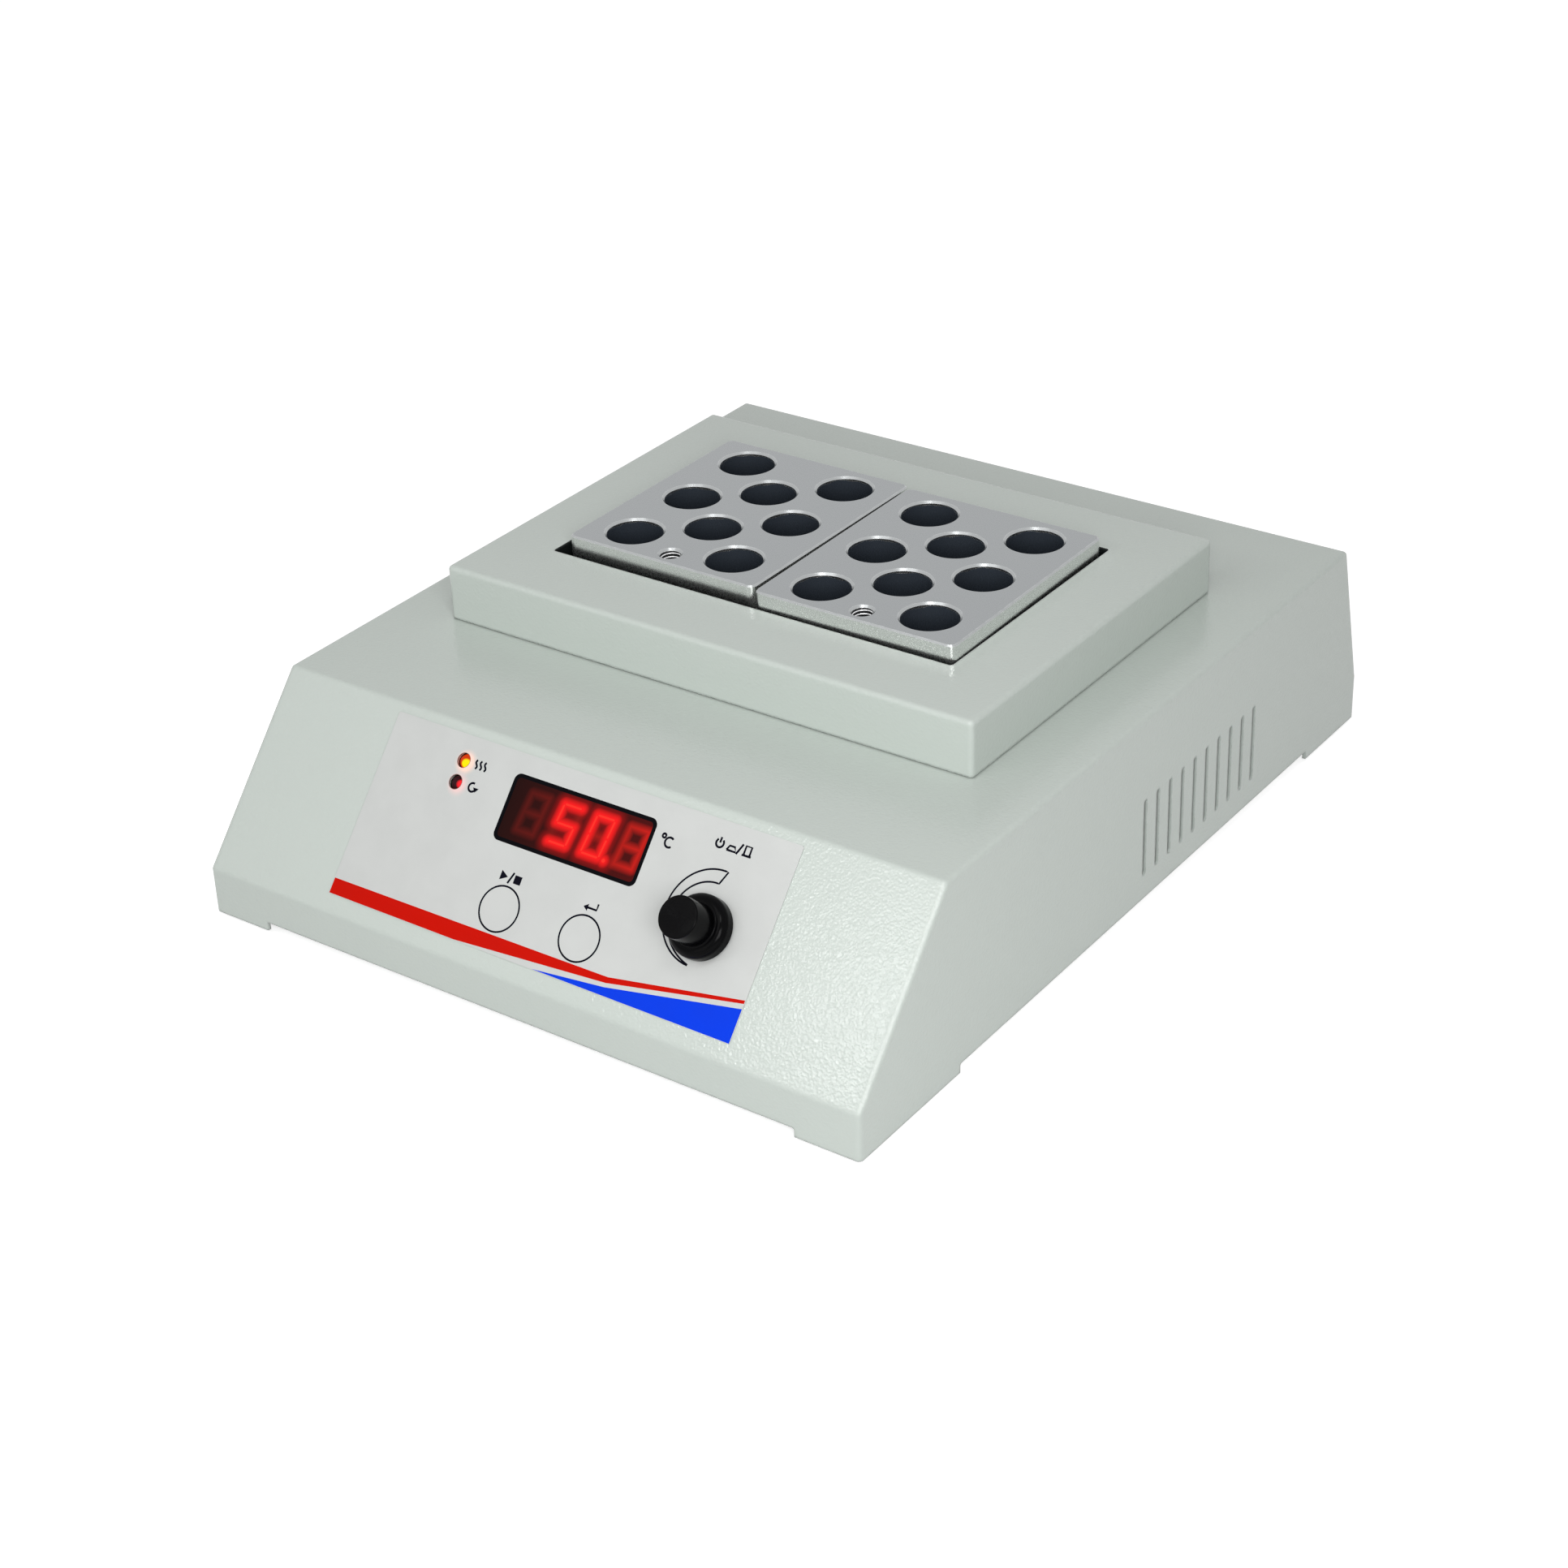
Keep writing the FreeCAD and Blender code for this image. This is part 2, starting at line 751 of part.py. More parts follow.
def floor_slot(x):
    """The cutters of one cooling slot with round ends."""
    y = case_depth / 2 - floor_slot_rear_inset
    half = (floor_slot_length - floor_slot_width) / 2
    ends = [rod(x, y + side * half, base_bottom, floor_slot_width, base_sheet) for side in (-1, 1)]
    return ends + [centred(x, y, base_bottom, floor_slot_width, 2 * half, base_sheet)]


def foot_places():
    """Where the feet stand, behind the corner tabs."""
    x = case_width / 2 - foot_inset
    y = case_depth / 2 - foot_inset
    return [(i * x, j * y) for i in (-1, 1) for j in (-1, 1)]


def rubber_feet():
    """Four tapered rubber feet with a recess for their screw heads."""
    feet = []
    for x, y in foot_places():
        foot = Part.makeCone(foot_diameter / 2 - foot_taper, foot_diameter / 2, base_bottom, V(x, y, 0))
        recess = rod(x, y, 0, 2 * foot_recess, foot_recess_depth)
        hole = rod(x, y, 0, m4 + screw_clearance, base_bottom)
        feet.append(foot.cut([recess, hole]))
    return group(feet)


def foot_screws():
    """The feet's screws with their nuts inside the case."""
    screws = []
    for x, y in foot_places():
        screw = pan_screw(x, y, foot_recess_depth, m4_head, m4_head_height, m4,
                          base_top + m4 - foot_recess_depth)
        nut = hexagon(x, y, base_top, pillar_flats, stud_nut_height)
        screws.append(screw.fuse(nut).removeSplitter())
    return group(screws)


def base_screws():
    """Pan-head screws up through the base plate into the case's ledges."""
    return group([pan_screw(x, y, base_bottom, m3_head, m3_head_height, m3, screw_reach)
                  for x, y in base_screw_places()])


def surround_screws():
    """Pan-head screws up through the case top into the surround's flanges."""
    return group([pan_screw(x, y, case_top - sheet, m3_head, m3_head_height, m3, screw_reach)
                  for x, y in surround_screw_places()])


def overlay_film():
    """The printed film on the slope, cut out for the window, lamps, keys and knob."""
    film = rounded(film_shift, film_base + film_length / 2, 0, film_width, film_length, film_thickness,
                   film_corner)
    cutters = [rounded(window_x, window_v, 0, window_width, window_height, film_thickness, window_corner)]
    for i in range(2):
        cutters.append(rod(led_x, led_v - i * led_pitch, 0, led_hole, film_thickness))
    for x in (key_left_x, key_right_x):
        cutters.append(rod(x, key_v, 0, key_opening, film_thickness))
    cutters.append(rod(knob_x, knob_v, 0, bushing_diameter + 2 * bushing_gap, film_thickness))
    return on_slope(film.cut(cutters))


def display_filter():
    """The red window plate, let into the slope flush with the film."""
    depth = sheet + film_thickness
    return on_slope(rounded(window_x, window_v, -sheet, window_width - 2 * window_fit,
                            window_height - 2 * window_fit, depth, window_corner - window_fit))


def display_module():
    """The four-digit display behind the window, on the control board."""
    module = centred(window_x, window_v, board_front, display_length, display_height, display_depth)
    return on_slope(module.makeChamfer(display_edge, upright_edges(module)))


def lamp(v):
    """One round-nosed lamp from the board up to the film."""
    radius = led_diameter / 2
    stem = rod(led_x, v, board_front, led_diameter, film_thickness - radius - board_front)
    nose = Part.makeSphere(radius, V(led_x, v, film_thickness - radius))
    collar = rod(led_x, v, board_front, led_collar, led_collar_height)
    return on_slope(stem.fuse([nose, collar]).removeSplitter())


def control_board():
    """The board that carries the display, lamps and key switches, parallel to the slope."""
    board = box(board_left, board_right, board_low, board_high, board_front - board_thickness, board_front)
    holes = [rod(x, v, board_front - board_thickness, m3 + screw_clearance, board_thickness)
             for x, v in board_hole_places()]
    return on_slope(board.cut(holes))


def board_hole_places():
    """The control board's fixing holes, near its corners."""
    xs = (board_left + board_hole_inset, board_right - board_hole_inset)
    vs = (board_low + board_hole_inset, board_high - board_hole_inset)
    return [(x, v) for x in xs for v in vs]


def board_spacers():
    """Hexagonal spacers between the slope and the control board."""
    spacers = [hexagon(x, v, board_front, spacer_flats, -sheet - board_front) for x, v in board_hole_places()]
    return on_slope(group(spacers))


def board_screws():
    """Screws behind the control board."""
    back = board_front - board_thickness
    return on_slope(group([pan_screw(x, v, back, m3_head, m3_head_height, m3, board_thickness)
                           for x, v in board_hole_places()]))


def key(x):
    """A key: a film disc in its ring with a stem down to its switch."""
    disc = rod(x, key_v, 0, key_disc, film_thickness)
    foot = board_front + tact_height + key_rest_gap
    stem = rod(x, key_v, foot, key_stem, -foot)
    return on_slope(disc.fuse(stem).removeSplitter())


def key_switches():
    """The two small switches under the keys, on the control board."""
    switches = [centred(x, key_v, board_front, tact_size, tact_size, tact_height)
                for x in (key_left_x, key_right_x)]
    return on_slope(group(switches))


def control_body():
    """The turning control and push switch behind the slope, with its threaded bushing."""
    depth = control_depth
    body = centred(knob_x, knob_v, -sheet - depth, control_size, control_size, depth)
    body = body.makeChamfer(control_edge, upright_edges(body))
    bushing = rod(knob_x, knob_v, -sheet, bushing_diameter, sheet + film_thickness + bushing_reach)
    bore = rod(knob_x, knob_v, plunger_face(), shaft_diameter + 2 * shaft_gap,
               film_thickness + bushing_reach - plunger_face())
    cavity = rod(knob_x, knob_v, cavity_back(), plunger_diameter + 2 * plunger_gap,
                 plunger_face() + plunger_gap + knob_push - cavity_back())
    return on_slope(body.fuse(bushing).cut([bore, cavity]).removeSplitter())


def cavity_back():
    """The rear end of the push switch's cavity."""
    return -sheet - control_depth + plunger_back


def plunger_face():
    """The plunger's front face at rest, with the knob pushed in."""
    return cavity_back() + collar_length + 2 * plunger_gap + plunger_length


def switch_plunger():
    """The sliding plunger of the push switch, round the shaft's end."""
    plunger = rod(knob_x, knob_v, plunger_face() - plunger_length, plunger_diameter, plunger_length)
    bore = rod(knob_x, knob_v, plunger_face() - plunger_length, shaft_diameter + 2 * shaft_gap,
               plunger_length)
    return on_slope(plunger.cut(bore))


def knob_shaft():
    """The shaft from the knob back through the bushing to its collar behind the plunger."""
    back = plunger_face() - plunger_length - plunger_gap - collar_length
    front = film_thickness + knob_gap + knob_throat_depth + shaft_grip
    shaft = rod(knob_x, knob_v, back, shaft_diameter, front - back)
    collar = rod(knob_x, knob_v, back, collar_diameter, collar_length)
    return on_slope(shaft.fuse(collar).removeSplitter())


def bushing_nut():
    """The nut that clamps the control to the slope, hidden inside the knob's skirt."""
    nut = hexagon(knob_x, knob_v, film_thickness, nut_flats, nut_height)
    return on_slope(nut.cut(rod(knob_x, knob_v, film_thickness, bushing_diameter + 2 * stud_gap, nut_height)))


def knob():
    """The knob: a skirt with a domed shoulder that flows into a straight grip."""
    low = film_thickness + knob_gap
    shoulder = low + knob_rim + knob_dome
    top = low + knob_height
    skirt = rod(0, 0, low, knob_skirt, shoulder - low)
    grip = Part.makeCone(knob_grip / 2, knob_tip / 2, top - shoulder, V(0, 0, shoulder))
    solid = skirt.fuse(grip)
    solid = solid.makeFillet(knob_neck, ring_edge(solid, shoulder, knob_grip / 2))
    solid = solid.makeFillet(knob_dome, ring_edge(solid, shoulder, knob_skirt / 2))
    solid = solid.makeFillet(knob_edge, ring_edge(solid, top, knob_tip / 2))
    hollow = rod(0, 0, low, knob_hollow, knob_hollow_depth)
    throat = rod(0, 0, low, knob_throat, knob_throat_depth)
    bore = rod(0, 0, low, shaft_diameter, knob_throat_depth + shaft_grip)
    solid = solid.cut([hollow, throat, bore])
    solid.translate(V(knob_x, knob_v, 0))
    return on_slope(solid)


def socket_shape(z0, width, height, depth):
    """The six-sided socket outline, its two lower corners cut off, about the socket's middle."""
    x = width / 2
    y = height / 2
    cut = socket_chamfer
    points = [V(-x, y, z0), V(-x, -y + cut, z0), V(-x + cut, -y, z0), V(x - cut, -y, z0), V(x, -y + cut, z0),
              V(x, y, z0)]
    solid = Part.Face(Part.makePolygon(points + points[:1])).extrude(V(0, 0, depth))
    solid.translate(V(0, inlet_v + socket_v, 0))
    return solid


def mains_inlet():
    """The three-pin inlet with its fuse bay, held on the rear slope by its flange."""
    flange = rounded(0, inlet_v, 0, inlet_flange_width, inlet_flange_height, inlet_flange,
                     inlet_flange_corner)
    top = [edge for edge in flange.Edges if abs(edge.CenterOfMass.z - inlet_flange) < 0.001]
    flange = flange.makeChamfer(inlet_flange_edge, top)
    body = centred(0, inlet_v, -inlet_body_depth, inlet_body_width, inlet_body_height, inlet_body_depth)
    bay = centred(0, inlet_v + bay_v, inlet_flange - bay_depth, bay_width, bay_height, bay_depth)
    recess = socket_shape(inlet_flange - socket_depth, socket_width, socket_height, socket_depth)
    screws = [rod(side * inlet_screw_pitch / 2, inlet_v, 0, m3 + screw_clearance, inlet_flange)
              for side in (-1, 1)]
    sinks = [Part.makeCone(m3 / 2, m3_head / 2 + stud_gap, m3_head_height,
                           V(side * inlet_screw_pitch / 2, inlet_v, inlet_flange - m3_head_height))
             for side in (-1, 1)]
    return on_rear(flange.fuse(body).cut([bay, recess] + screws + sinks).removeSplitter())


def inlet_pins():
    """The inlet's three blades with their tags behind the body."""
    floor = inlet_flange - socket_depth
    centre = inlet_v + socket_v
    pins = []
    for x, y in ((-inlet_pin_pitch, 0), (inlet_pin_pitch, 0), (0, inlet_pin_drop)):
        pins.append(centred(x, centre + y - inlet_pin_drop / 4, floor, inlet_pin_height, inlet_pin_width,
                            inlet_pin_length))
    return on_rear(group(pins))


def inlet_tags():
    """The solder tags behind the inlet's body."""
    tags = []
    for x, y in ((-inlet_pin_pitch, 0), (inlet_pin_pitch, 0), (0, inlet_pin_drop)):
        tags.append(centred(x, inlet_v + socket_v + y - inlet_pin_drop / 4,
                            -inlet_body_depth - inlet_tab_length, inlet_tab_thickness, inlet_pin_width,
                            inlet_tab_length))
    return on_rear(group(tags))


def fuse_drawer():
    """The pull-out fuse drawer: a face with a grip ridge and a tray with two troughs."""
    centre = inlet_v + bay_v
    width = bay_width - 2 * drawer_gap
    height = bay_height - 2 * drawer_gap
    back = inlet_flange - bay_depth + drawer_gap
    front = inlet_flange + drawer_face
    tray = centred(0, centre, back, width, height, front - back)
    grip = centred(0, centre - height / 2 + drawer_grip / 2, front, width / 2, drawer_grip, drawer_grip)
    troughs = [fuse_space(i, fuse_diameter + 2 * drawer_gap, fuse_length + 2 * drawer_gap)
               for i in range(2)]
    return on_rear(tray.fuse(grip).cut(troughs).removeSplitter())


def fuse_depth(index):
    """How far a fuse's middle lies behind the inlet's face."""
    return inlet_flange - fuse_first - index * fuse_pitch


def fuse_floor():
    """The level of the troughs' floor, up the rear slope."""
    return inlet_v + bay_v - bay_height / 2 + drawer_gap + drawer_floor


def fuse_space(index, diameter, length):
    """The trough that a fuse lies in, open towards the top of the drawer."""
    low = fuse_floor()
    return centred(0, low + bay_height / 2, fuse_depth(index) - diameter / 2, length, bay_height, diameter)


def fuses():
    """Two glass fuses with their metal caps, lying in the drawer."""
    glass = []
    for i in range(2):
        y = fuse_floor() + fuse_diameter / 2
        z = fuse_depth(i)
        tube = Part.makeCylinder(fuse_diameter / 2 - fuse_cap_wall, fuse_length, V(-fuse_length / 2, y, z),
                                 V(1, 0, 0))
        left = Part.makeCylinder(fuse_diameter / 2, fuse_cap_length, V(-fuse_length / 2, y, z), V(1, 0, 0))
        right = Part.makeCylinder(fuse_diameter / 2, fuse_cap_length,
                                  V(fuse_length / 2 - fuse_cap_length, y, z), V(1, 0, 0))
        glass.append(tube.fuse([left, right]).removeSplitter())
    return on_rear(group(glass))


def inlet_screws():
    """The inlet's two countersunk screws."""
    screws = []
    for side in (-1, 1):
        x = side * inlet_screw_pitch / 2
        head = Part.makeCone(m3 / 2, m3_head / 2, m3_head_height, V(x, inlet_v, inlet_flange - m3_head_height))
        shank = rod(x, inlet_v, inlet_flange - screw_reach - sheet, m3, screw_reach + sheet - m3_head_height)
        screws.append(head.fuse(shank).removeSplitter())
    return on_rear(group(screws))


def power_board_places():
    """The power board's fixing holes."""
    x = power_width / 2 - power_hole_inset
    y = power_depth / 2 - power_hole_inset
    return [(power_x + i * x, power_y + j * y) for i in (-1, 1) for j in (-1, 1)]


def power_board():
    """The power board over the floor of the case."""
    board = centred(power_x, power_y, power_bottom, power_width, power_depth, board_thickness)
    holes = [rod(x, y, power_bottom, m3 + screw_clearance, board_thickness) for x, y in power_board_places()]
    return board.cut(holes)


def power_pillars():
    """The spacers under the power board."""
    return group([hexagon(x, y, base_top, spacer_flats, power_lift) for x, y in power_board_places()])


def power_screws():
    """The screws on top of the power board."""
    screws = []
    for x, y in power_board_places():
        head = rod(x, y, power_top, m3_head, m3_head_height)
        shank = rod(x, y, power_bottom, m3, board_thickness + m3_head_height)
        screws.append(head.fuse(shank).removeSplitter())
    return group(screws)


def transformer():
    """The small mains transformer: a laminated core round its coil."""
    transformer_depth = transformer_share * power_depth
    coil = centred(transformer_x, power_y, power_top, transformer_width, transformer_depth,
                   transformer_height)
    coil = coil.makeFillet(transformer_corner, upright_edges(coil))
    gap = transformer_core
    core = centred(transformer_x, power_y, power_top + gap / 2, transformer_width - 2 * gap,
                   transformer_depth + gap, transformer_height)
    return coil.fuse(core).removeSplitter()


def heat_sink():
    """The finned sink that the heater's switching device is bolted to."""
    foot = centred(sink_x, power_y, power_top, sink_width, sink_depth, sink_foot)
    fins = []
    for i in range(sink_fins):
        x = sink_x - sink_width / 2 + sink_fin / 2 + i * (sink_width - sink_fin) / (sink_fins - 1)
        fins.append(centred(x, power_y, power_top, sink_fin, sink_depth, sink_height))
    return foot.fuse(fins).removeSplitter()


def terminal_block():
    """The screw terminal block at the power board's front edge."""
    body = centred(terminal_x, terminal_y, power_top, terminal_width, terminal_depth, terminal_height)
    pitch = terminal_width / terminal_ways
    cutters = []
    for i in range(terminal_ways):
        x = terminal_x - terminal_width / 2 + (i + 0.5) * pitch
        cutters.append(rod(x, terminal_y, power_top + terminal_height - terminal_screw_depth,
                           terminal_screw_share * pitch, terminal_screw_depth))
    return body.cut(cutters)


def earth_stud():
    """The earth stud on the base plate with its nut."""
    stud = rod(earth_x, earth_y, base_top, m4, earth_height)
    nut = hexagon(earth_x, earth_y, base_top, pillar_flats, stud_nut_height)
    return stud.fuse(nut).removeSplitter()


def rear_point(x, v, w):
    """A point in the case's frame from the rear slope's own axes."""
    turn = FreeCAD.Rotation(V(0, 0, 1), 180).multiply(FreeCAD.Rotation(V(1, 0, 0), 90 - rear_angle))
    return V(inlet_x, case_depth / 2, strip_top) + turn.multVec(V(x, v, w))


def slope_point(x, v, w):
    """A point in the case's frame from the front slope's own axes."""
    return V(0, case_front, strip_top) + FreeCAD.Rotation(V(1, 0, 0), slope_angle).multVec(V(x, v, w))


def mains_leads():
    """The two leads from the inlet's tags down to the power board, behind the terminal block."""
    leads = []
    foot_y = terminal_y + terminal_depth / 2 + mains_lead_gap + mains_lead / 2
    for side in (-1, 1):
        end = rear_point(side * inlet_pin_pitch, inlet_v + socket_v - inlet_pin_drop / 4,
                         -inlet_body_depth - inlet_tab_length)
        run = rear_point(side * inlet_pin_pitch, inlet_v + socket_v - inlet_pin_drop / 4,
                         -inlet_body_depth - inlet_tab_length - 3 * mains_lead)
        foot = V(end.x - mains_lead_step, foot_y, power_top + terminal_height + mains_lead_rise)
        leads.append(lead([end, run, foot, V(foot.x, foot.y, power_top)], mains_lead))
    return group(leads)


def earth_lead():
    """The lead from the inlet's middle tag to the earth stud."""
    end = rear_point(0, inlet_v + socket_v + 3 * inlet_pin_drop / 4, -inlet_body_depth - inlet_tab_length)
    top = base_top + earth_height
    away = rear_point(0, inlet_v + socket_v + 3 * inlet_pin_drop / 4,
                      -inlet_body_depth - inlet_tab_length - 3 * earth_wire)
    lane_y = power_y - sink_depth / 2 - 1.5 * earth_wire
    points = [end, away, V(sink_x + sink_width / 2 + earth_wire, lane_y, away.z),
              V(sink_x - sink_width / 2, lane_y - earth_wire / 4, away.z),
              V(earth_x, earth_y, top + 4 * earth_wire), V(earth_x, earth_y, top)]
    return lead(points, earth_wire)


def heater_leads():
    """The two leads from the heater mat's rear edge to the terminal block."""
    leads = []
    edge = opening_y + opening_length / 2
    mat_x = opening_shift - opening_width / 2 + heater_lead_inset
    top = power_top + terminal_height
    for side in (-1, 1):
        x = terminal_x + side * terminal_width / 4
        start = V(mat_x + side * terminal_width / 4, edge, clamp_bottom - heater_lead)
        points = [start, V(start.x, edge + heater_lead_run, start.z), V(x, terminal_y, top + heater_lead_rise),
                  V(x, terminal_y, top)]
        leads.append(lead(points, heater_lead))
    return group(leads)


def probe_cable():
    """The probe's cable from the plate's front edge to the control board."""
    start = V(probe_x, opening_y0 - plate_front_margin + probe_depth - probe_length,
              plate_bottom + plate_thickness / 2)
    board = slope_point(probe_x, probe_lead_v, board_front - board_thickness)
    out = slope_point(probe_x, probe_lead_v, board_front - board_thickness - probe_lead_drop)
    return lead([start, V(start.x, start.y - probe_lead_run, start.z), out, board], probe_lead)


def control_loom():
    """The loom from the control board, under the heater stack, back to the power board."""
    back = board_front - board_thickness
    start = slope_point(loom_x, loom_v, back)
    away = slope_point(loom_x, loom_v, back - 3 * control_wires)
    lane = base_top + 0.55 * control_wires
    gap_y = power_front - control_wires
    end_y = power_front + control_wires
    high = power_top + 3 * control_wires
    points = [start, away, V(loom_x, away.y + 3 * control_wires, lane), V(loom_x, gap_y, lane),
              V(loom_x, gap_y, high), V(loom_x, end_y, high), V(loom_x, end_y, power_top)]
    return lead(points, control_wires)


def write(name, shape):
    """Writes one sub-part to its STEP file."""
    shape.exportStep("parts/" + name + ".step")


def main():
    """Builds every sub-part and writes it out."""
    os.makedirs("parts", exist_ok=True)
    write("case_shell", case_shell())
    write("block_surround", block_surround())
    write("surround_screws", surround_screws())
    write("base_plate", base_plate())
    write("base_screws", base_screws())
    write("rubber_feet", rubber_feet())
    write("foot_screws", foot_screws())
    write("overlay_film", overlay_film())
    write("display_filter", display_filter())
    write("display_module", display_module())
    write("heat_lamp", lamp(led_v))
    write("run_lamp", lamp(led_v - led_pitch))
    write("control_board", control_board())
    write("board_spacers", board_spacers())
    write("board_screws", board_screws())
    write("start_key", key(key_left_x))
    write("set_key", key(key_right_x))
    write("key_switches", key_switches())
    write("control_body", control_body())
    write("switch_plunger", switch_plunger())
    write("knob_shaft", knob_shaft())
    write("bushing_nut", bushing_nut())
    write("knob", knob())
    write("well_liner", well_liner())
    write("heater_plate", heater_plate())
    write("heater_mat", stack_layer(mat_bottom, mat_thickness))
    write("clamp_plate", stack_layer(clamp_bottom, clamp_thickness))
    write("insulation_board", stack_layer(insulation_bottom, insulation_thickness))
    write("stack_studs", stack_studs())
    write("plate_pillars", plate_pillars())
    write("thermal_cutout", thermal_cutout())
    write("temperature_probe", temperature_probe())
    write("left_block", placed_block(left_block_x, left_block_gap, 0))
    write("right_block", placed_block(right_block_x, right_block_gap, right_block_yaw))
    write("mains_inlet", mains_inlet())
    write("inlet_pins", inlet_pins())
    write("inlet_tags", inlet_tags())
    write("fuse_drawer", fuse_drawer())
    write("fuses", fuses())
    write("inlet_screws", inlet_screws())
    write("power_board", power_board())
    write("power_pillars", power_pillars())
    write("power_screws", power_screws())
    write("transformer", transformer())
    write("heat_sink", heat_sink())
    write("terminal_block", terminal_block())
    write("earth_stud", earth_stud())
    write("mains_leads", mains_leads())
    write("earth_lead", earth_lead())
    write("heater_leads", heater_leads())
    write("probe_cable", probe_cable())
    write("control_loom", control_loom())


main()
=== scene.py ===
"""Dresses the dry bath incubator: its finishes, panel print, display, threads and studio."""

from __future__ import annotations

import json
import logging
import math
from dataclasses import dataclass, field
from typing import Callable, Iterable, Sequence

import bmesh
import bpy
from mathutils import Matrix, Vector

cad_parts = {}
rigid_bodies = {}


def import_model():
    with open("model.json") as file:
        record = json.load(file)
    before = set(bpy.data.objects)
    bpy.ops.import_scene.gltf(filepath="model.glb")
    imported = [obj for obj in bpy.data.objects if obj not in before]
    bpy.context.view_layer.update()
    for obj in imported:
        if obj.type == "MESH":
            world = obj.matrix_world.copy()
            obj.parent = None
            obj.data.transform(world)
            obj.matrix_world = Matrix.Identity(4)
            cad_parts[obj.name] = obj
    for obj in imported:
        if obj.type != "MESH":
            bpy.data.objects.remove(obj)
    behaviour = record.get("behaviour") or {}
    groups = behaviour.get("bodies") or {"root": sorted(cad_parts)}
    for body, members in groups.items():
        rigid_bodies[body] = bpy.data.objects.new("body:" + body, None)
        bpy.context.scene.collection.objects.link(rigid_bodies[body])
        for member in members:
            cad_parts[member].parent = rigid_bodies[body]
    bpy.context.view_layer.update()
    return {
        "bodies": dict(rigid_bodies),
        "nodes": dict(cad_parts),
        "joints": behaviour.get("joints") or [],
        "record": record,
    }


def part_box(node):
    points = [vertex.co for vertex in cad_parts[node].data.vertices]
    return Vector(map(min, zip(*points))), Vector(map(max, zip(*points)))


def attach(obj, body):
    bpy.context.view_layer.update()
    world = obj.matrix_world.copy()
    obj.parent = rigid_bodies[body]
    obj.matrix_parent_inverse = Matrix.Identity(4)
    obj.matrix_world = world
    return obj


LOG = logging.getLogger("dry_bath")
MM = 0.001
LINER_WALL = 1.0
LINER_FLANGE = 8.0
Point = tuple[float, float]
Triple = tuple[float, float, float]
Colour = tuple[float, float, float, float]


def from_srgb(red: float, green: float, blue: float) -> Colour:
    """Turns a colour as it is seen on a screen into Blender's linear values.

    Args:
        red, green, blue: the screen values from 0 to 255.

    Returns:
        The linear colour with full alpha.
    """
    def one(value: float) -> float:
        """Turns one channel linear."""
        part = value / 255
        return part / 12.92 if part <= 0.04045 else ((part + 0.055) / 1.055) ** 2.4
    return one(red), one(green), one(blue), 1.0


def shaded(colour: Colour, share: float) -> Colour:
    """The same linear colour made darker or lighter by a share, with full alpha."""
    red, green, blue = (min(1.0, share * part) for part in colour[:3])
    return red, green, blue, 1.0


class Nodes:
    """A small helper that adds and links nodes in one tree."""

    def __init__(self, tree: bpy.types.NodeTree) -> None:
        """Keeps the tree that nodes are added to."""
        self.tree = tree

    def add(self, kind: str, **values: object) -> bpy.types.Node:
        """Adds a node and sets its properties.

        Args:
            kind: the node type's name without its ShaderNode prefix.
            values: properties by name.

        Returns:
            The new node.
        """
        node = self.tree.nodes.new("ShaderNode" + kind)
        for name, value in values.items():
            setattr(node, name, value)
        return node

    def link(self, source: bpy.types.NodeSocket, target: bpy.types.NodeSocket) -> None:
        """Links an output to an input."""
        self.tree.links.new(source, target)

    def math(self, operation: str, first: object, second: object = 0.0,
             clamp: bool = False) -> bpy.types.NodeSocket:
        """Adds a maths node on sockets or numbers.

        Args:
            operation: the maths node's operation.
            first, second: sockets or plain numbers.
            clamp: whether the result stays between 0 and 1.

        Returns:
            The result's socket.
        """
        node = self.add("Math", operation=operation, use_clamp=clamp)
        for socket, value in zip(node.inputs, (first, second)):
            self.feed(value, socket)
        return node.outputs[0]

    def feed(self, value: object, socket: bpy.types.NodeSocket) -> None:
        """Sets a socket to a value, or links it to another socket.

        Args:
            value: a number, a colour or the socket to link from.
            socket: the input that takes it.
        """
        if isinstance(value, bpy.types.NodeSocket):
            self.link(value, socket)
        else:
            socket.default_value = value

    def mix(self, factor: object, first: object, second: object) -> bpy.types.NodeSocket:
        """Mixes two colours.

        Args:
            factor: the second colour's share, as a number or a socket.
            first, second: the colours or their sockets.

        Returns:
            The mixed colour's socket.
        """
        node = self.add("Mix", data_type="RGBA")
        self.feed(factor, node.inputs[0])
        self.feed(first, node.inputs[6])
        self.feed(second, node.inputs[7])
        return node.outputs[2]

    def distance(self, first: object, second: object) -> bpy.types.NodeSocket:
        """The length of a two-part vector."""
        squares = [self.math("MULTIPLY", part, part) for part in (first, second)]
        return self.math("SQRT", self.math("ADD", *squares))

    def ramp(self, factor: bpy.types.NodeSocket, low: float, high: float,
             to_low: float = 0.0, to_high: float = 1.0) -> bpy.types.NodeSocket:
        """Maps a value from one range to another, held at its ends.

        Args:
            factor: the value's socket.
            low, high: the range that the value is read in.
            to_low, to_high: what the range's ends become.

        Returns:
            The mapped value's socket.
        """
        node = self.add("MapRange")
        for index, value in enumerate((factor, low, high, to_low, to_high)):
            self.feed(value, node.inputs[index])
        return node.outputs[0]


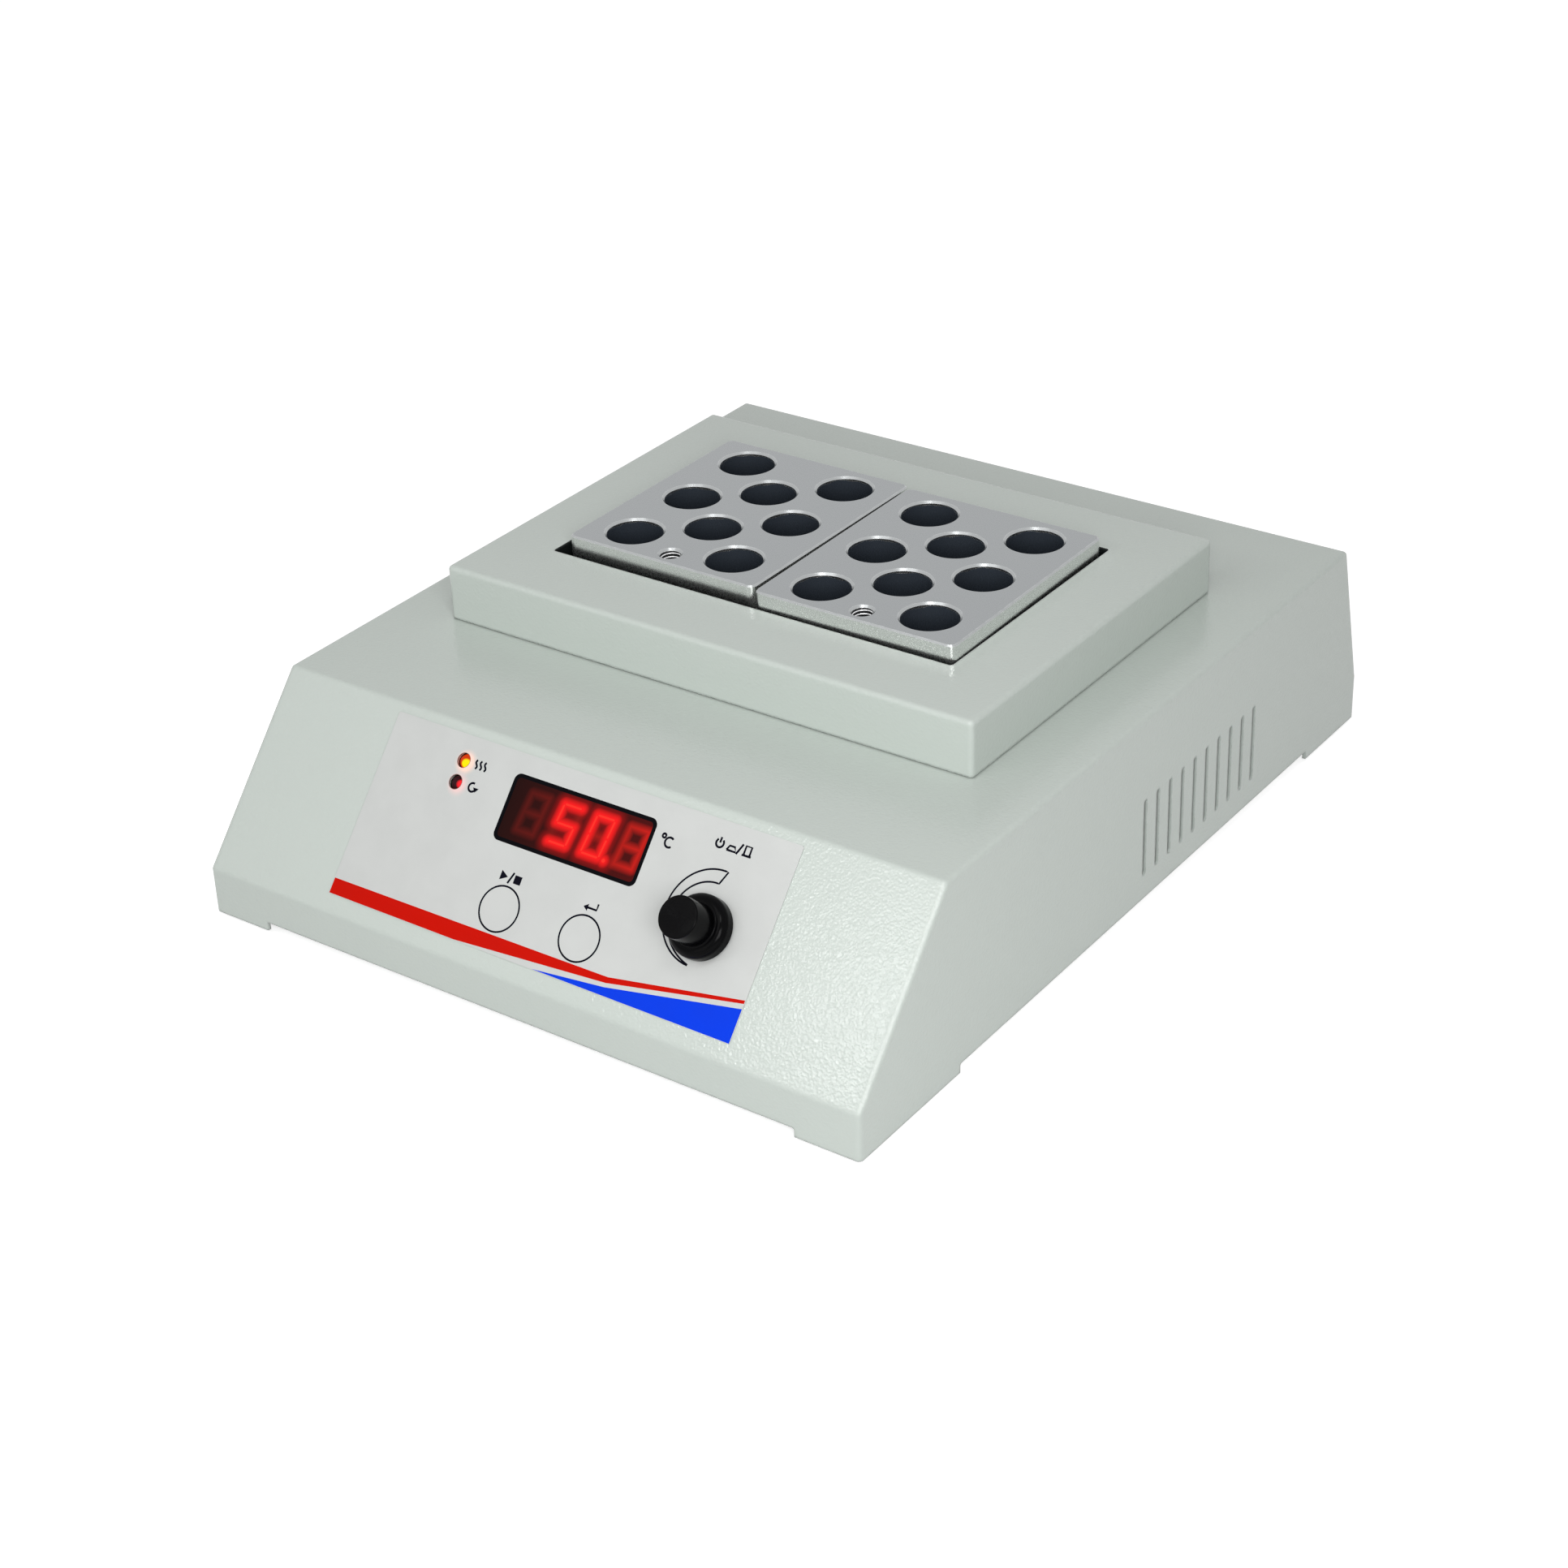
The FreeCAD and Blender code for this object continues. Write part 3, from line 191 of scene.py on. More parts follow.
class EffectLibrary:
    """The shader groups that several finishes share, each built once."""

    def __init__(self) -> None:
        """Starts with no groups built."""
        self.built: dict[str, bpy.types.NodeTree] = {}

    def start(self, name: str, inputs: Sequence[tuple[str, float]], outputs: Sequence[str]) -> Nodes:
        """Makes an empty group with named float inputs and outputs.

        Args:
            name: the group's name.
            inputs: each input's name and first value.
            outputs: the names of the outputs.

        Returns:
            A helper on the group's tree.
        """
        tree = bpy.data.node_groups.new(name, "ShaderNodeTree")
        for label, value in inputs:
            socket = tree.interface.new_socket(name=label, in_out="INPUT", socket_type="NodeSocketFloat")
            socket.default_value = value
        for label in outputs:
            tree.interface.new_socket(name=label, in_out="OUTPUT", socket_type="NodeSocketFloat")
        self.built[name] = tree
        return Nodes(tree)

    def wrinkle(self) -> bpy.types.NodeTree:
        """The height of an orange-peel coat, with slow shade changes over the sheet.

        Returns:
            The group's tree.
        """
        name = "OrangePeel"
        if name in self.built:
            return self.built[name]
        kit = self.start(name, (("Cell", 900.0), ("Drift", 9.0)), ("Height", "Shade", "Fleck"))
        inside = kit.tree.nodes.new("NodeGroupInput")
        outside = kit.tree.nodes.new("NodeGroupOutput")
        where = kit.add("TexCoord").outputs["Object"]
        cells = kit.add("TexNoise")
        cells.inputs["Detail"].default_value = 1.0
        cells.inputs["Roughness"].default_value = 0.4
        cells.inputs["Distortion"].default_value = 0.5
        kit.link(where, cells.inputs["Vector"])
        kit.link(inside.outputs["Cell"], cells.inputs["Scale"])
        lumps = kit.add("TexVoronoi", feature="SMOOTH_F1")
        kit.link(where, lumps.inputs["Vector"])
        kit.link(kit.math("MULTIPLY", inside.outputs["Cell"], 1.35), lumps.inputs["Scale"])
        height = kit.math("ADD", kit.math("MULTIPLY", cells.outputs[0], 0.6),
                          kit.math("MULTIPLY", lumps.outputs["Distance"], 0.55))
        slow = kit.add("TexNoise")
        slow.inputs["Detail"].default_value = 2.0
        kit.link(where, slow.inputs["Vector"])
        kit.link(inside.outputs["Drift"], slow.inputs["Scale"])
        kit.link(height, outside.inputs["Height"])
        kit.link(slow.outputs[0], outside.inputs["Shade"])
        kit.link(kit.ramp(cells.outputs[0], 0.35, 0.68), outside.inputs["Fleck"])
        return kit.tree

    def grain(self) -> bpy.types.NodeTree:
        """The height and tone of fine even grain on metal and mouldings, with slow clouds.

        Returns:
            The group's tree.
        """
        name = "SurfaceGrain"
        if name in self.built:
            return self.built[name]
        kit = self.start(name, (("Fine", 2500.0), ("Cloud", 25.0)), ("Height", "Tone", "Cloud"))
        inside = kit.tree.nodes.new("NodeGroupInput")
        outside = kit.tree.nodes.new("NodeGroupOutput")
        where = kit.add("TexCoord").outputs["Object"]
        fine = kit.add("TexNoise")
        fine.inputs["Detail"].default_value = 4.0
        kit.link(where, fine.inputs["Vector"])
        kit.link(inside.outputs["Fine"], fine.inputs["Scale"])
        cloud = kit.add("TexNoise")
        cloud.inputs["Detail"].default_value = 3.0
        kit.link(where, cloud.inputs["Vector"])
        kit.link(inside.outputs["Cloud"], cloud.inputs["Scale"])
        kit.link(fine.outputs[0], outside.inputs["Height"])
        kit.link(kit.ramp(fine.outputs[0], 0.3, 0.7), outside.inputs["Tone"])
        kit.link(kit.ramp(cloud.outputs[0], 0.35, 0.65), outside.inputs["Cloud"])
        return kit.tree

    def edges(self) -> bpy.types.NodeTree:
        """A mask of edges lightened partly by wear and partly as painted highlight, and the normal of the
        same edges rounded over.

        Returns:
            The group's tree.
        """
        name = "EdgeWearAndHighlight"
        if name in self.built:
            return self.built[name]
        kit = self.start(name, (("Reach", 0.6), ("Break", 180.0)), ("WearAndHighlight",))
        kit.tree.interface.new_socket(name="Rounded", in_out="OUTPUT", socket_type="NodeSocketVector")
        inside = kit.tree.nodes.new("NodeGroupInput")
        outside = kit.tree.nodes.new("NodeGroupOutput")
        bevel = kit.add("Bevel", samples=4)
        kit.link(kit.math("MULTIPLY", inside.outputs["Reach"], MM), bevel.inputs["Radius"])
        turned = kit.add("VectorMath", operation="DOT_PRODUCT")
        kit.link(bevel.outputs[0], turned.inputs[0])
        kit.link(kit.add("NewGeometry").outputs["Normal"], turned.inputs[1])
        sharp = kit.ramp(turned.outputs["Value"], 0.995, 0.9)
        chips = kit.add("TexNoise")
        kit.link(kit.add("TexCoord").outputs["Object"], chips.inputs["Vector"])
        kit.link(inside.outputs["Break"], chips.inputs["Scale"])
        broken = kit.math("MULTIPLY", sharp, kit.ramp(chips.outputs[0], 0.35, 0.6), True)
        kit.link(broken, outside.inputs["WearAndHighlight"])
        kit.link(bevel.outputs[0], outside.inputs["Rounded"])
        return kit.tree

    def dust(self) -> bpy.types.NodeTree:
        """A thin veil of dust on faces that look up.

        Returns:
            The group's tree.
        """
        name = "DustVeil"
        if name in self.built:
            return self.built[name]
        kit = self.start(name, (("Amount", 0.1), ("Patch", 40.0)), ("Veil",))
        inside = kit.tree.nodes.new("NodeGroupInput")
        outside = kit.tree.nodes.new("NodeGroupOutput")
        parts = kit.add("SeparateXYZ")
        kit.link(kit.add("NewGeometry").outputs["Normal"], parts.inputs[0])
        patch = kit.add("TexNoise")
        patch.inputs["Detail"].default_value = 5.0
        kit.link(kit.add("TexCoord").outputs["Object"], patch.inputs["Vector"])
        kit.link(inside.outputs["Patch"], patch.inputs["Scale"])
        lying = kit.ramp(parts.outputs["Z"], 0.3, 0.95)
        spread = kit.math("MULTIPLY", lying, kit.ramp(patch.outputs[0], 0.35, 0.75))
        kit.link(kit.math("MULTIPLY", spread, inside.outputs["Amount"]), outside.inputs["Veil"])
        return kit.tree

    def digit(self) -> bpy.types.NodeTree:
        """Distances in millimetres from the bars of a seven segment eight, nought and five.

        Returns:
            The group's tree.
        """
        name = "DigitBars"
        if name in self.built:
            return self.built[name]
        kit = self.start(name, (("Across", 0.0), ("Up", 0.0), ("Half Width", 3.5), ("Half Height", 6.8)),
                         ("Eight", "Nought", "Five"))
        inside = kit.tree.nodes.new("NodeGroupInput")
        outside = kit.tree.nodes.new("NodeGroupOutput")
        across, up, half_width, half_height = (inside.outputs[i] for i in range(4))
        side = kit.math("ABSOLUTE", across)
        level = kit.math("ABSOLUTE", up)
        past_end = kit.math("MAXIMUM", kit.math("SUBTRACT", side, half_width), 0.0)
        half_bar = kit.math("MULTIPLY", half_height, 0.5)
        past_side = kit.math("ABSOLUTE", kit.math("SUBTRACT", level, half_bar))
        past_side = kit.math("MAXIMUM", kit.math("SUBTRACT", past_side, half_bar), 0.0)
        mirrored = kit.math("MULTIPLY", across, kit.math("SIGN", up))
        outer = kit.distance(past_end, kit.math("SUBTRACT", level, half_height))
        middle = kit.distance(past_end, up)
        sides = kit.distance(kit.math("SUBTRACT", side, half_width), past_side)
        five_sides = kit.distance(kit.math("ADD", mirrored, half_width), past_side)
        nought = kit.math("MINIMUM", outer, sides)
        kit.link(nought, outside.inputs["Nought"])
        kit.link(kit.math("MINIMUM", nought, middle), outside.inputs["Eight"])
        five = kit.math("MINIMUM", kit.math("MINIMUM", outer, middle), five_sides)
        kit.link(five, outside.inputs["Five"])
        return kit.tree


EFFECTS = EffectLibrary()


@dataclass(frozen=True)
class Finish:
    """A finish with a base colour and the plain shader values that go with it."""

    name: str
    colour: Triple
    roughness: float = 0.5
    metallic: float = 0.0
    specular: float = 0.5

    def material(self) -> bpy.types.Material:
        """Makes the material, or finds it when it was made before.

        Returns:
            The finish's material.
        """
        found = bpy.data.materials.get(self.name)
        if found:
            return found
        made = bpy.data.materials.new(self.name)
        made.use_nodes = True
        kit = Nodes(made.node_tree)
        shader = made.node_tree.nodes["Principled BSDF"]
        shader.inputs["Base Color"].default_value = from_srgb(*self.colour)
        shader.inputs["Roughness"].default_value = self.roughness
        shader.inputs["Metallic"].default_value = self.metallic
        shader.inputs["Specular IOR Level"].default_value = self.specular
        made.diffuse_color = from_srgb(*self.colour)
        self.dress(kit, shader)
        return made

    def dress(self, kit: Nodes, shader: bpy.types.Node) -> None:
        """Adds the finish's own detail; a plain finish gets soft cloudy tone and fine grain.

        Args:
            kit: the material's node helper.
            shader: the material's main shader.
        """
        grain = self.place(kit, EFFECTS.grain(), Fine=1800.0, Cloud=30.0)
        base = from_srgb(*self.colour)
        kit.link(kit.mix(grain.outputs["Cloud"], base, shaded(base, 0.86)), shader.inputs["Base Color"])
        self.vary(kit, shader, grain.outputs["Tone"], 0.06)
        self.bump(kit, shader, grain.outputs["Height"], 0.12, 0.05)

    def place(self, kit: Nodes, tree: bpy.types.NodeTree, **values: float) -> bpy.types.Node:
        """Puts a shared effect in this material with its own values.

        Args:
            kit: the material's node helper.
            tree: the effect's group.
            values: the group's inputs by name.

        Returns:
            The group's node.
        """
        node = kit.add("Group", node_tree=tree)
        for name, value in values.items():
            node.inputs[name].default_value = value
        return node

    def vary(self, kit: Nodes, shader: bpy.types.Node, mask: bpy.types.NodeSocket, swing: float) -> None:
        """Lets the roughness swing about the finish's own by a mask that runs from 0 to 1."""
        roughness = kit.ramp(mask, 0, 1, self.roughness - swing, self.roughness + swing)
        kit.link(roughness, shader.inputs["Roughness"])

    def bump(self, kit: Nodes, shader: bpy.types.Node, height: bpy.types.NodeSocket,
             strength: float, depth: float) -> bpy.types.Node:
        """Feeds a height to the shader's normal.

        Args:
            kit: the material's node helper.
            shader: the material's main shader.
            height: the height's socket.
            strength: the bump's strength.
            depth: the relief's depth in millimetres.

        Returns:
            The bump node.
        """
        node = kit.add("Bump")
        node.inputs["Strength"].default_value = strength
        node.inputs["Distance"].default_value = depth * MM
        kit.link(height, node.inputs["Height"])
        kit.link(node.outputs[0], shader.inputs["Normal"])
        return node


@dataclass(frozen=True)
class PowderCoat(Finish):
    """Light grey powder coat whose orange-peel skin glints where a lamp is mirrored in it."""

    cell: float = 900.0
    relief: float = 0.10
    bend: float = 1.4
    inside: tuple[float, float, float, float] = (0.0, 0.0, 0.0, 0.0)
    wear_highlight_colour: Triple = (226, 230, 228)
    wear_highlight_share: float = 0.25
    dust_colour: Triple = (205, 205, 198)
    lip_shade: Triple = (26, 30, 30)

    def dress(self, kit: Nodes, shader: bpy.types.Node) -> None:
        """Adds the orange peel, slow shade changes, edges lightened partly by wear and partly as painted
        highlight, a little dust and painted shade on the inner lips.

        Args:
            kit: the material's node helper.
            shader: the material's main shader.
        """
        wrinkle = self.place(kit, EFFECTS.wrinkle(), Cell=self.cell, Drift=7.0)
        edge_wear_and_highlight = self.place(kit, EFFECTS.edges(), Reach=self.bend, Break=260.0)
        dust = self.place(kit, EFFECTS.dust(), Amount=0.02, Patch=60.0)
        base = from_srgb(*self.colour)
        drifted = kit.mix(wrinkle.outputs["Shade"], shaded(base, 1.015), shaded(base, 0.985))
        # Edges lightened partly by real wear and partly as a painted highlight along the bends.
        bared_and_highlit = kit.math("MULTIPLY", edge_wear_and_highlight.outputs["WearAndHighlight"], self.wear_highlight_share)
        edged = kit.mix(bared_and_highlit, drifted, from_srgb(*self.wear_highlight_colour))
        shown = kit.mix(dust.outputs["Veil"], edged, from_srgb(*self.dust_colour))
        # Painted shade: the upright lips round the opening are coloured near black.
        if any(self.inside):
            shown = kit.mix(self.lips(kit), shown, from_srgb(*self.lip_shade))
        kit.link(shown, shader.inputs["Base Color"])
        self.vary(kit, shader, wrinkle.outputs["Fleck"], -0.02)
        skin = self.bump(kit, shader, wrinkle.outputs["Height"], 1.0, self.relief)
        kit.link(edge_wear_and_highlight.outputs["Rounded"], skin.inputs["Normal"])

    def lips(self, kit: Nodes) -> bpy.types.NodeSocket:
        """A mask of the upright lips folded down round the opening, which are given painted shade.

        Args:
            kit: the material's node helper.

        Returns:
            The mask's socket.
        """
        parts = kit.add("SeparateXYZ")
        kit.link(kit.add("TexCoord").outputs["Object"], parts.inputs[0])
        low_x, high_x, low_y, high_y = self.inside
        off_x = kit.math("ABSOLUTE", kit.math("SUBTRACT", parts.outputs["X"], (low_x + high_x) / 2))
        off_y = kit.math("ABSOLUTE", kit.math("SUBTRACT", parts.outputs["Y"], (low_y + high_y) / 2))
        past = kit.math("MAXIMUM", kit.math("SUBTRACT", off_x, (high_x - low_x) / 2),
                        kit.math("SUBTRACT", off_y, (high_y - low_y) / 2))
        facing = kit.add("SeparateXYZ")
        kit.link(kit.add("NewGeometry").outputs["Normal"], facing.inputs[0])
        upright = kit.math("LESS_THAN", facing.outputs["Z"], 0.6)
        return kit.math("MULTIPLY", upright, kit.math("LESS_THAN", past, 0.05 * MM))


@dataclass(frozen=True)
class MilledAluminium(Finish):
    """Satin machined aluminium with even grain, faint stains, a painted sheen on upright faces, and bright
    edges that are partly wear and partly painted highlight.
    """

    grain: float = 2400.0
    tone: float = 0.2
    cloud: float = 0.03
    wear_highlight_colour: Triple = (236, 237, 238)
    wear_highlight_share: float = 0.5
    flank_sheen: Triple | None = None

    def dress(self, kit: Nodes, shader: bpy.types.Node) -> None:
        """Adds grain, faint clouding, a painted sheen on upright faces, and edges lightened partly by wear
        and partly as painted highlight.

        Args:
            kit: the material's node helper.
            shader: the material's main shader.
        """
        grain = self.place(kit, EFFECTS.grain(), Fine=self.grain, Cloud=45.0)
        edge_wear_and_highlight = self.place(kit, EFFECTS.edges(), Reach=0.35, Break=420.0)
        base: object = from_srgb(*self.colour)
        dull: object = shaded(base, 0.8)
        # Painted sheen: faces that stand upright get a lighter colour than the tops.
        if self.flank_sheen:
            facing = kit.add("SeparateXYZ")
            kit.link(kit.add("NewGeometry").outputs["Normal"], facing.inputs[0])
            level = kit.ramp(kit.math("ABSOLUTE", facing.outputs["Z"]), 0.3, 0.8, 0.0, 0.95)
            bright = from_srgb(*self.flank_sheen)
            base = kit.mix(level, bright, base)
            dull = kit.mix(level, shaded(bright, 0.85), dull)
        grained = kit.mix(kit.math("MULTIPLY", grain.outputs["Tone"], self.tone), base, dull)
        clouded = kit.mix(kit.math("MULTIPLY", grain.outputs["Cloud"], self.cloud), grained, dull)
        # Edges lightened partly by real wear and partly as a painted highlight on the chamfers.
        bared_and_highlit = kit.math("MULTIPLY", edge_wear_and_highlight.outputs["WearAndHighlight"], self.wear_highlight_share)
        kit.link(kit.mix(bared_and_highlit, clouded, from_srgb(*self.wear_highlight_colour)), shader.inputs["Base Color"])
        self.vary(kit, shader, grain.outputs["Tone"], 0.03)
        self.bump(kit, shader, grain.outputs["Height"], 0.2, 0.004)


@dataclass(frozen=True)
class ShadedBoreWall(Finish):
    """A well's wall coloured as painted shade, with more painted shade towards its floor."""

    mouth: float = 0.0
    depth: float = 0.02

    def dress(self, kit: Nodes, shader: bpy.types.Node) -> None:
        """Adds painted shade that deepens down the bore, and faint boring marks round it.

        Args:
            kit: the material's node helper.
            shader: the material's main shader.
        """
        height = kit.add("SeparateXYZ")
        kit.link(kit.add("TexCoord").outputs["Object"], height.inputs[0])
        down = kit.ramp(height.outputs["Z"], self.mouth, self.mouth - self.depth, 0.0, 0.8)
        base = from_srgb(*self.colour)
        deep_shade = shaded(base, 0.3)
        grain = self.place(kit, EFFECTS.grain(), Fine=1400.0, Cloud=120.0)
        marked = kit.mix(kit.math("MULTIPLY", grain.outputs["Tone"], 0.12), base, deep_shade)
        kit.link(kit.mix(down, marked, deep_shade), shader.inputs["Base Color"])
        self.vary(kit, shader, grain.outputs["Tone"], 0.06)
        self.bump(kit, shader, grain.outputs["Height"], 0.3, 0.03)


@dataclass(frozen=True)
class TurnedGloss(Finish):
    """Glossy black moulding whose end face shows fine turned rings about an axis."""

    centre: Triple = (0.0, 0.0, 0.0)
    tilt: float = 0.0
    ring: float = 1100.0
    handled: Triple = (14, 14, 16)
    handled_share: float = 0.18

    def dress(self, kit: Nodes, shader: bpy.types.Node) -> None:
        """Adds turned rings about the knob's axis and a trace of handling marks.

        Args:
            kit: the material's node helper.
            shader: the material's main shader.
        """
        where = kit.add("TexCoord").outputs["Object"]
        local = kit.add("Mapping", vector_type="TEXTURE")
        local.inputs["Location"].default_value = self.centre
        local.inputs["Rotation"].default_value = (self.tilt, 0.0, 0.0)
        kit.link(where, local.inputs["Vector"])
        rings = kit.add("TexWave", wave_type="RINGS", rings_direction="Z")
        rings.inputs["Scale"].default_value = self.ring
        rings.inputs["Distortion"].default_value = 0.3
        rings.inputs["Detail"].default_value = 1.0
        kit.link(local.outputs[0], rings.inputs["Vector"])
        grain = self.place(kit, EFFECTS.grain(), Fine=700.0, Cloud=160.0)
        base = from_srgb(*self.colour)
        marks = kit.math("MULTIPLY", grain.outputs["Cloud"], self.handled_share)
        kit.link(kit.mix(marks, base, from_srgb(*self.handled)), shader.inputs["Base Color"])
        kit.link(kit.ramp(grain.outputs["Cloud"], 0, 1, self.roughness, self.roughness + 0.08),
                 shader.inputs["Roughness"])
        self.bump(kit, shader, rings.outputs["Fac"], 0.3, 0.008)


@dataclass(frozen=True)
class PrintInk(Finish):
    """Screen-printed ink on the film: flat colour with a slight mottling."""

    specular: float = 0.02

    def dress(self, kit: Nodes, shader: bpy.types.Node) -> None:
        """Adds faint mottling to the ink.

        Args:
            kit: the material's node helper.
            shader: the material's main shader.
        """
        grain = self.place(kit, EFFECTS.grain(), Fine=3000.0, Cloud=90.0)
        base = from_srgb(*self.colour)
        thin = tuple(min(1.0, 0.93 * part + 0.002) for part in base[:3]) + (1.0,)
        mottled = kit.math("MULTIPLY", grain.outputs["Cloud"], 0.5)
        kit.link(kit.mix(mottled, base, thin), shader.inputs["Base Color"])
        self.vary(kit, shader, grain.outputs["Tone"], 0.05)


@dataclass(frozen=True)
class PanelFilm(PrintInk):
    """The matt film, faintly lit round the lamps that shine past their holes."""

    lamps: tuple[Triple, ...] = ()
    lights: tuple[Triple, ...] = ()
    rim: float = 2.2 * MM
    reach: float = 4.6 * MM
    fade: float = 1.8
    strength: float = 0.55

    def dress(self, kit: Nodes, shader: bpy.types.Node) -> None:
        """Adds a soft patch of painted light in each lamp's colour round its hole.

        Args:
            kit: the material's node helper.
            shader: the material's main shader.
        """
        super().dress(kit, shader)
        where = kit.add("TexCoord").outputs["Object"]
        shown: object = (0.0, 0.0, 0.0, 1.0)
        # Painted light: the film glows round each lamp hole.
        for lamp, light in zip(self.lamps, self.lights):
            away = kit.add("VectorMath", operation="DISTANCE")
            kit.link(where, away.inputs[0])
            away.inputs[1].default_value = lamp
            near = kit.ramp(away.outputs["Value"], self.rim, self.reach, 1.0, 0.0)
            shown = kit.mix(kit.math("POWER", near, self.fade), shown, from_srgb(*light))
        if self.lamps:
            kit.link(shown, shader.inputs["Emission Color"])
            shader.inputs["Emission Strength"].default_value = self.strength


@dataclass(frozen=True)
class Glow(Finish):
    """A glowing surface with a bright patch about a point, for lamp noses and digit bars; on the unlit red
    lamp it is a painted highlight.
    """

    specular: float = 0.05
    light: Triple = (255, 40, 20)
    far: Triple = (120, 12, 8)
    strength: float = 1.0
    centre: Triple = (0.0, 0.0, 0.0)
    reach: float = 0.02
    core: float = 0.7

    def dress(self, kit: Nodes, shader: bpy.types.Node) -> None:
        """Adds light that is strongest at a point and falls to the far colour.

        Args:
            kit: the material's node helper.
            shader: the material's main shader.
        """
        away = kit.add("VectorMath", operation="DISTANCE")
        kit.link(kit.add("TexCoord").outputs["Object"], away.inputs[0])
        away.inputs[1].default_value = self.centre
        near = kit.ramp(away.outputs["Value"], self.core * self.reach, self.reach, 1.0, 0.0)
        shown = kit.mix(near, from_srgb(*self.far), from_srgb(*self.light))
        kit.link(shown, shader.inputs["Emission Color"])
        shader.inputs["Emission Strength"].default_value = self.strength


@dataclass(frozen=True)
class RedWindow(Finish):
    """The dark red display window, with the digits' light spreading in it and painted light on its ground
    and unlit bars.
    """

    specular: float = 0.04
    centre: Triple = (0.0, 0.0, 0.0)
    tilt: float = 0.0
    slant: float = 0.09
    half_width: float = 3.6
    half_height: float = 6.2
    bar: float = 2.6
    width: float = 54.0
    places: tuple[float, ...] = ()
    point: Point = (0.0, 0.0)
    spread: float = 3.4
    strength: float = 0.97
    ground: tuple[Triple, ...] = ((32, 8, 6), (80, 12, 12))
    dim: tuple[Triple, ...] = ((92, 20, 16), (232, 34, 26))
    halo: Triple = (176, 16, 18)
    lit: Triple = (255, 28, 30)

    def dress(self, kit: Nodes, shader: bpy.types.Node) -> None:
        """Adds the bars' light from their distances: dim eights outside, a five and a nought between; the
        ground and the unlit bars glow as painted light, more towards the right.

        Args:
            kit: the material's node helper.
            shader: the material's main shader.
        """
        local = kit.add("Mapping", vector_type="TEXTURE")
        local.inputs["Location"].default_value = self.centre
        local.inputs["Rotation"].default_value = (self.tilt, 0.0, 0.0)
        local.inputs["Scale"].default_value = (MM, MM, MM)
        kit.link(kit.add("TexCoord").outputs["Object"], local.inputs["Vector"])
        parts = kit.add("SeparateXYZ")
        kit.link(local.outputs[0], parts.inputs[0])
        up = parts.outputs["Y"]
        upright = kit.math("SUBTRACT", parts.outputs["X"], kit.math("MULTIPLY", up, self.slant))
        digits = []
        for place in self.places:
            digit = self.place(kit, EFFECTS.digit())
            digit.inputs["Half Width"].default_value = self.half_width
            digit.inputs["Half Height"].default_value = self.half_height
            kit.link(kit.math("SUBTRACT", upright, place), digit.inputs["Across"])
            kit.link(up, digit.inputs["Up"])
            digits.append(digit)
        dot = kit.distance(kit.math("SUBTRACT", parts.outputs["X"], self.point[0]),
                           kit.math("SUBTRACT", up, self.point[1]))
        lit = kit.math("MINIMUM", digits[1].outputs["Five"], digits[2].outputs["Nought"])
        lit = kit.math("MINIMUM", lit, kit.math("SUBTRACT", dot, 0.1))
        dim = kit.math("MINIMUM", digits[0].outputs["Eight"], digits[3].outputs["Eight"])
        ghost = kit.math("MINIMUM", digits[1].outputs["Eight"], digits[2].outputs["Eight"])
        dim = kit.math("MINIMUM", dim, ghost)
        half = self.bar / 2
        far_side = kit.ramp(parts.outputs["X"], -self.width / 2, self.width / 2)
        halo = kit.math("POWER", kit.ramp(lit, half, half + self.spread, 1.0, 0.0), 1.5)
        faint = kit.ramp(dim, half - 1.3, half + 0.8, 1.0, 0.0)
        core = kit.ramp(lit, half - 0.8, half + 1.0, 1.0, 0.0)
        # Painted light: the ground and the unlit bars glow, lighter towards the right.
        ground = kit.mix(far_side, *(from_srgb(*colour) for colour in self.ground))
        bars = kit.mix(kit.math("POWER", far_side, 2.0), *(from_srgb(*colour) for colour in self.dim))
        shade = kit.mix(kit.math("MULTIPLY", halo, 0.8), ground, from_srgb(*self.halo))
        shade = kit.mix(kit.math("MULTIPLY", faint, 0.8), shade, bars)
        shade = kit.mix(core, shade, from_srgb(*self.lit))
        kit.link(shade, shader.inputs["Emission Color"])
        shader.inputs["Emission Strength"].default_value = self.strength


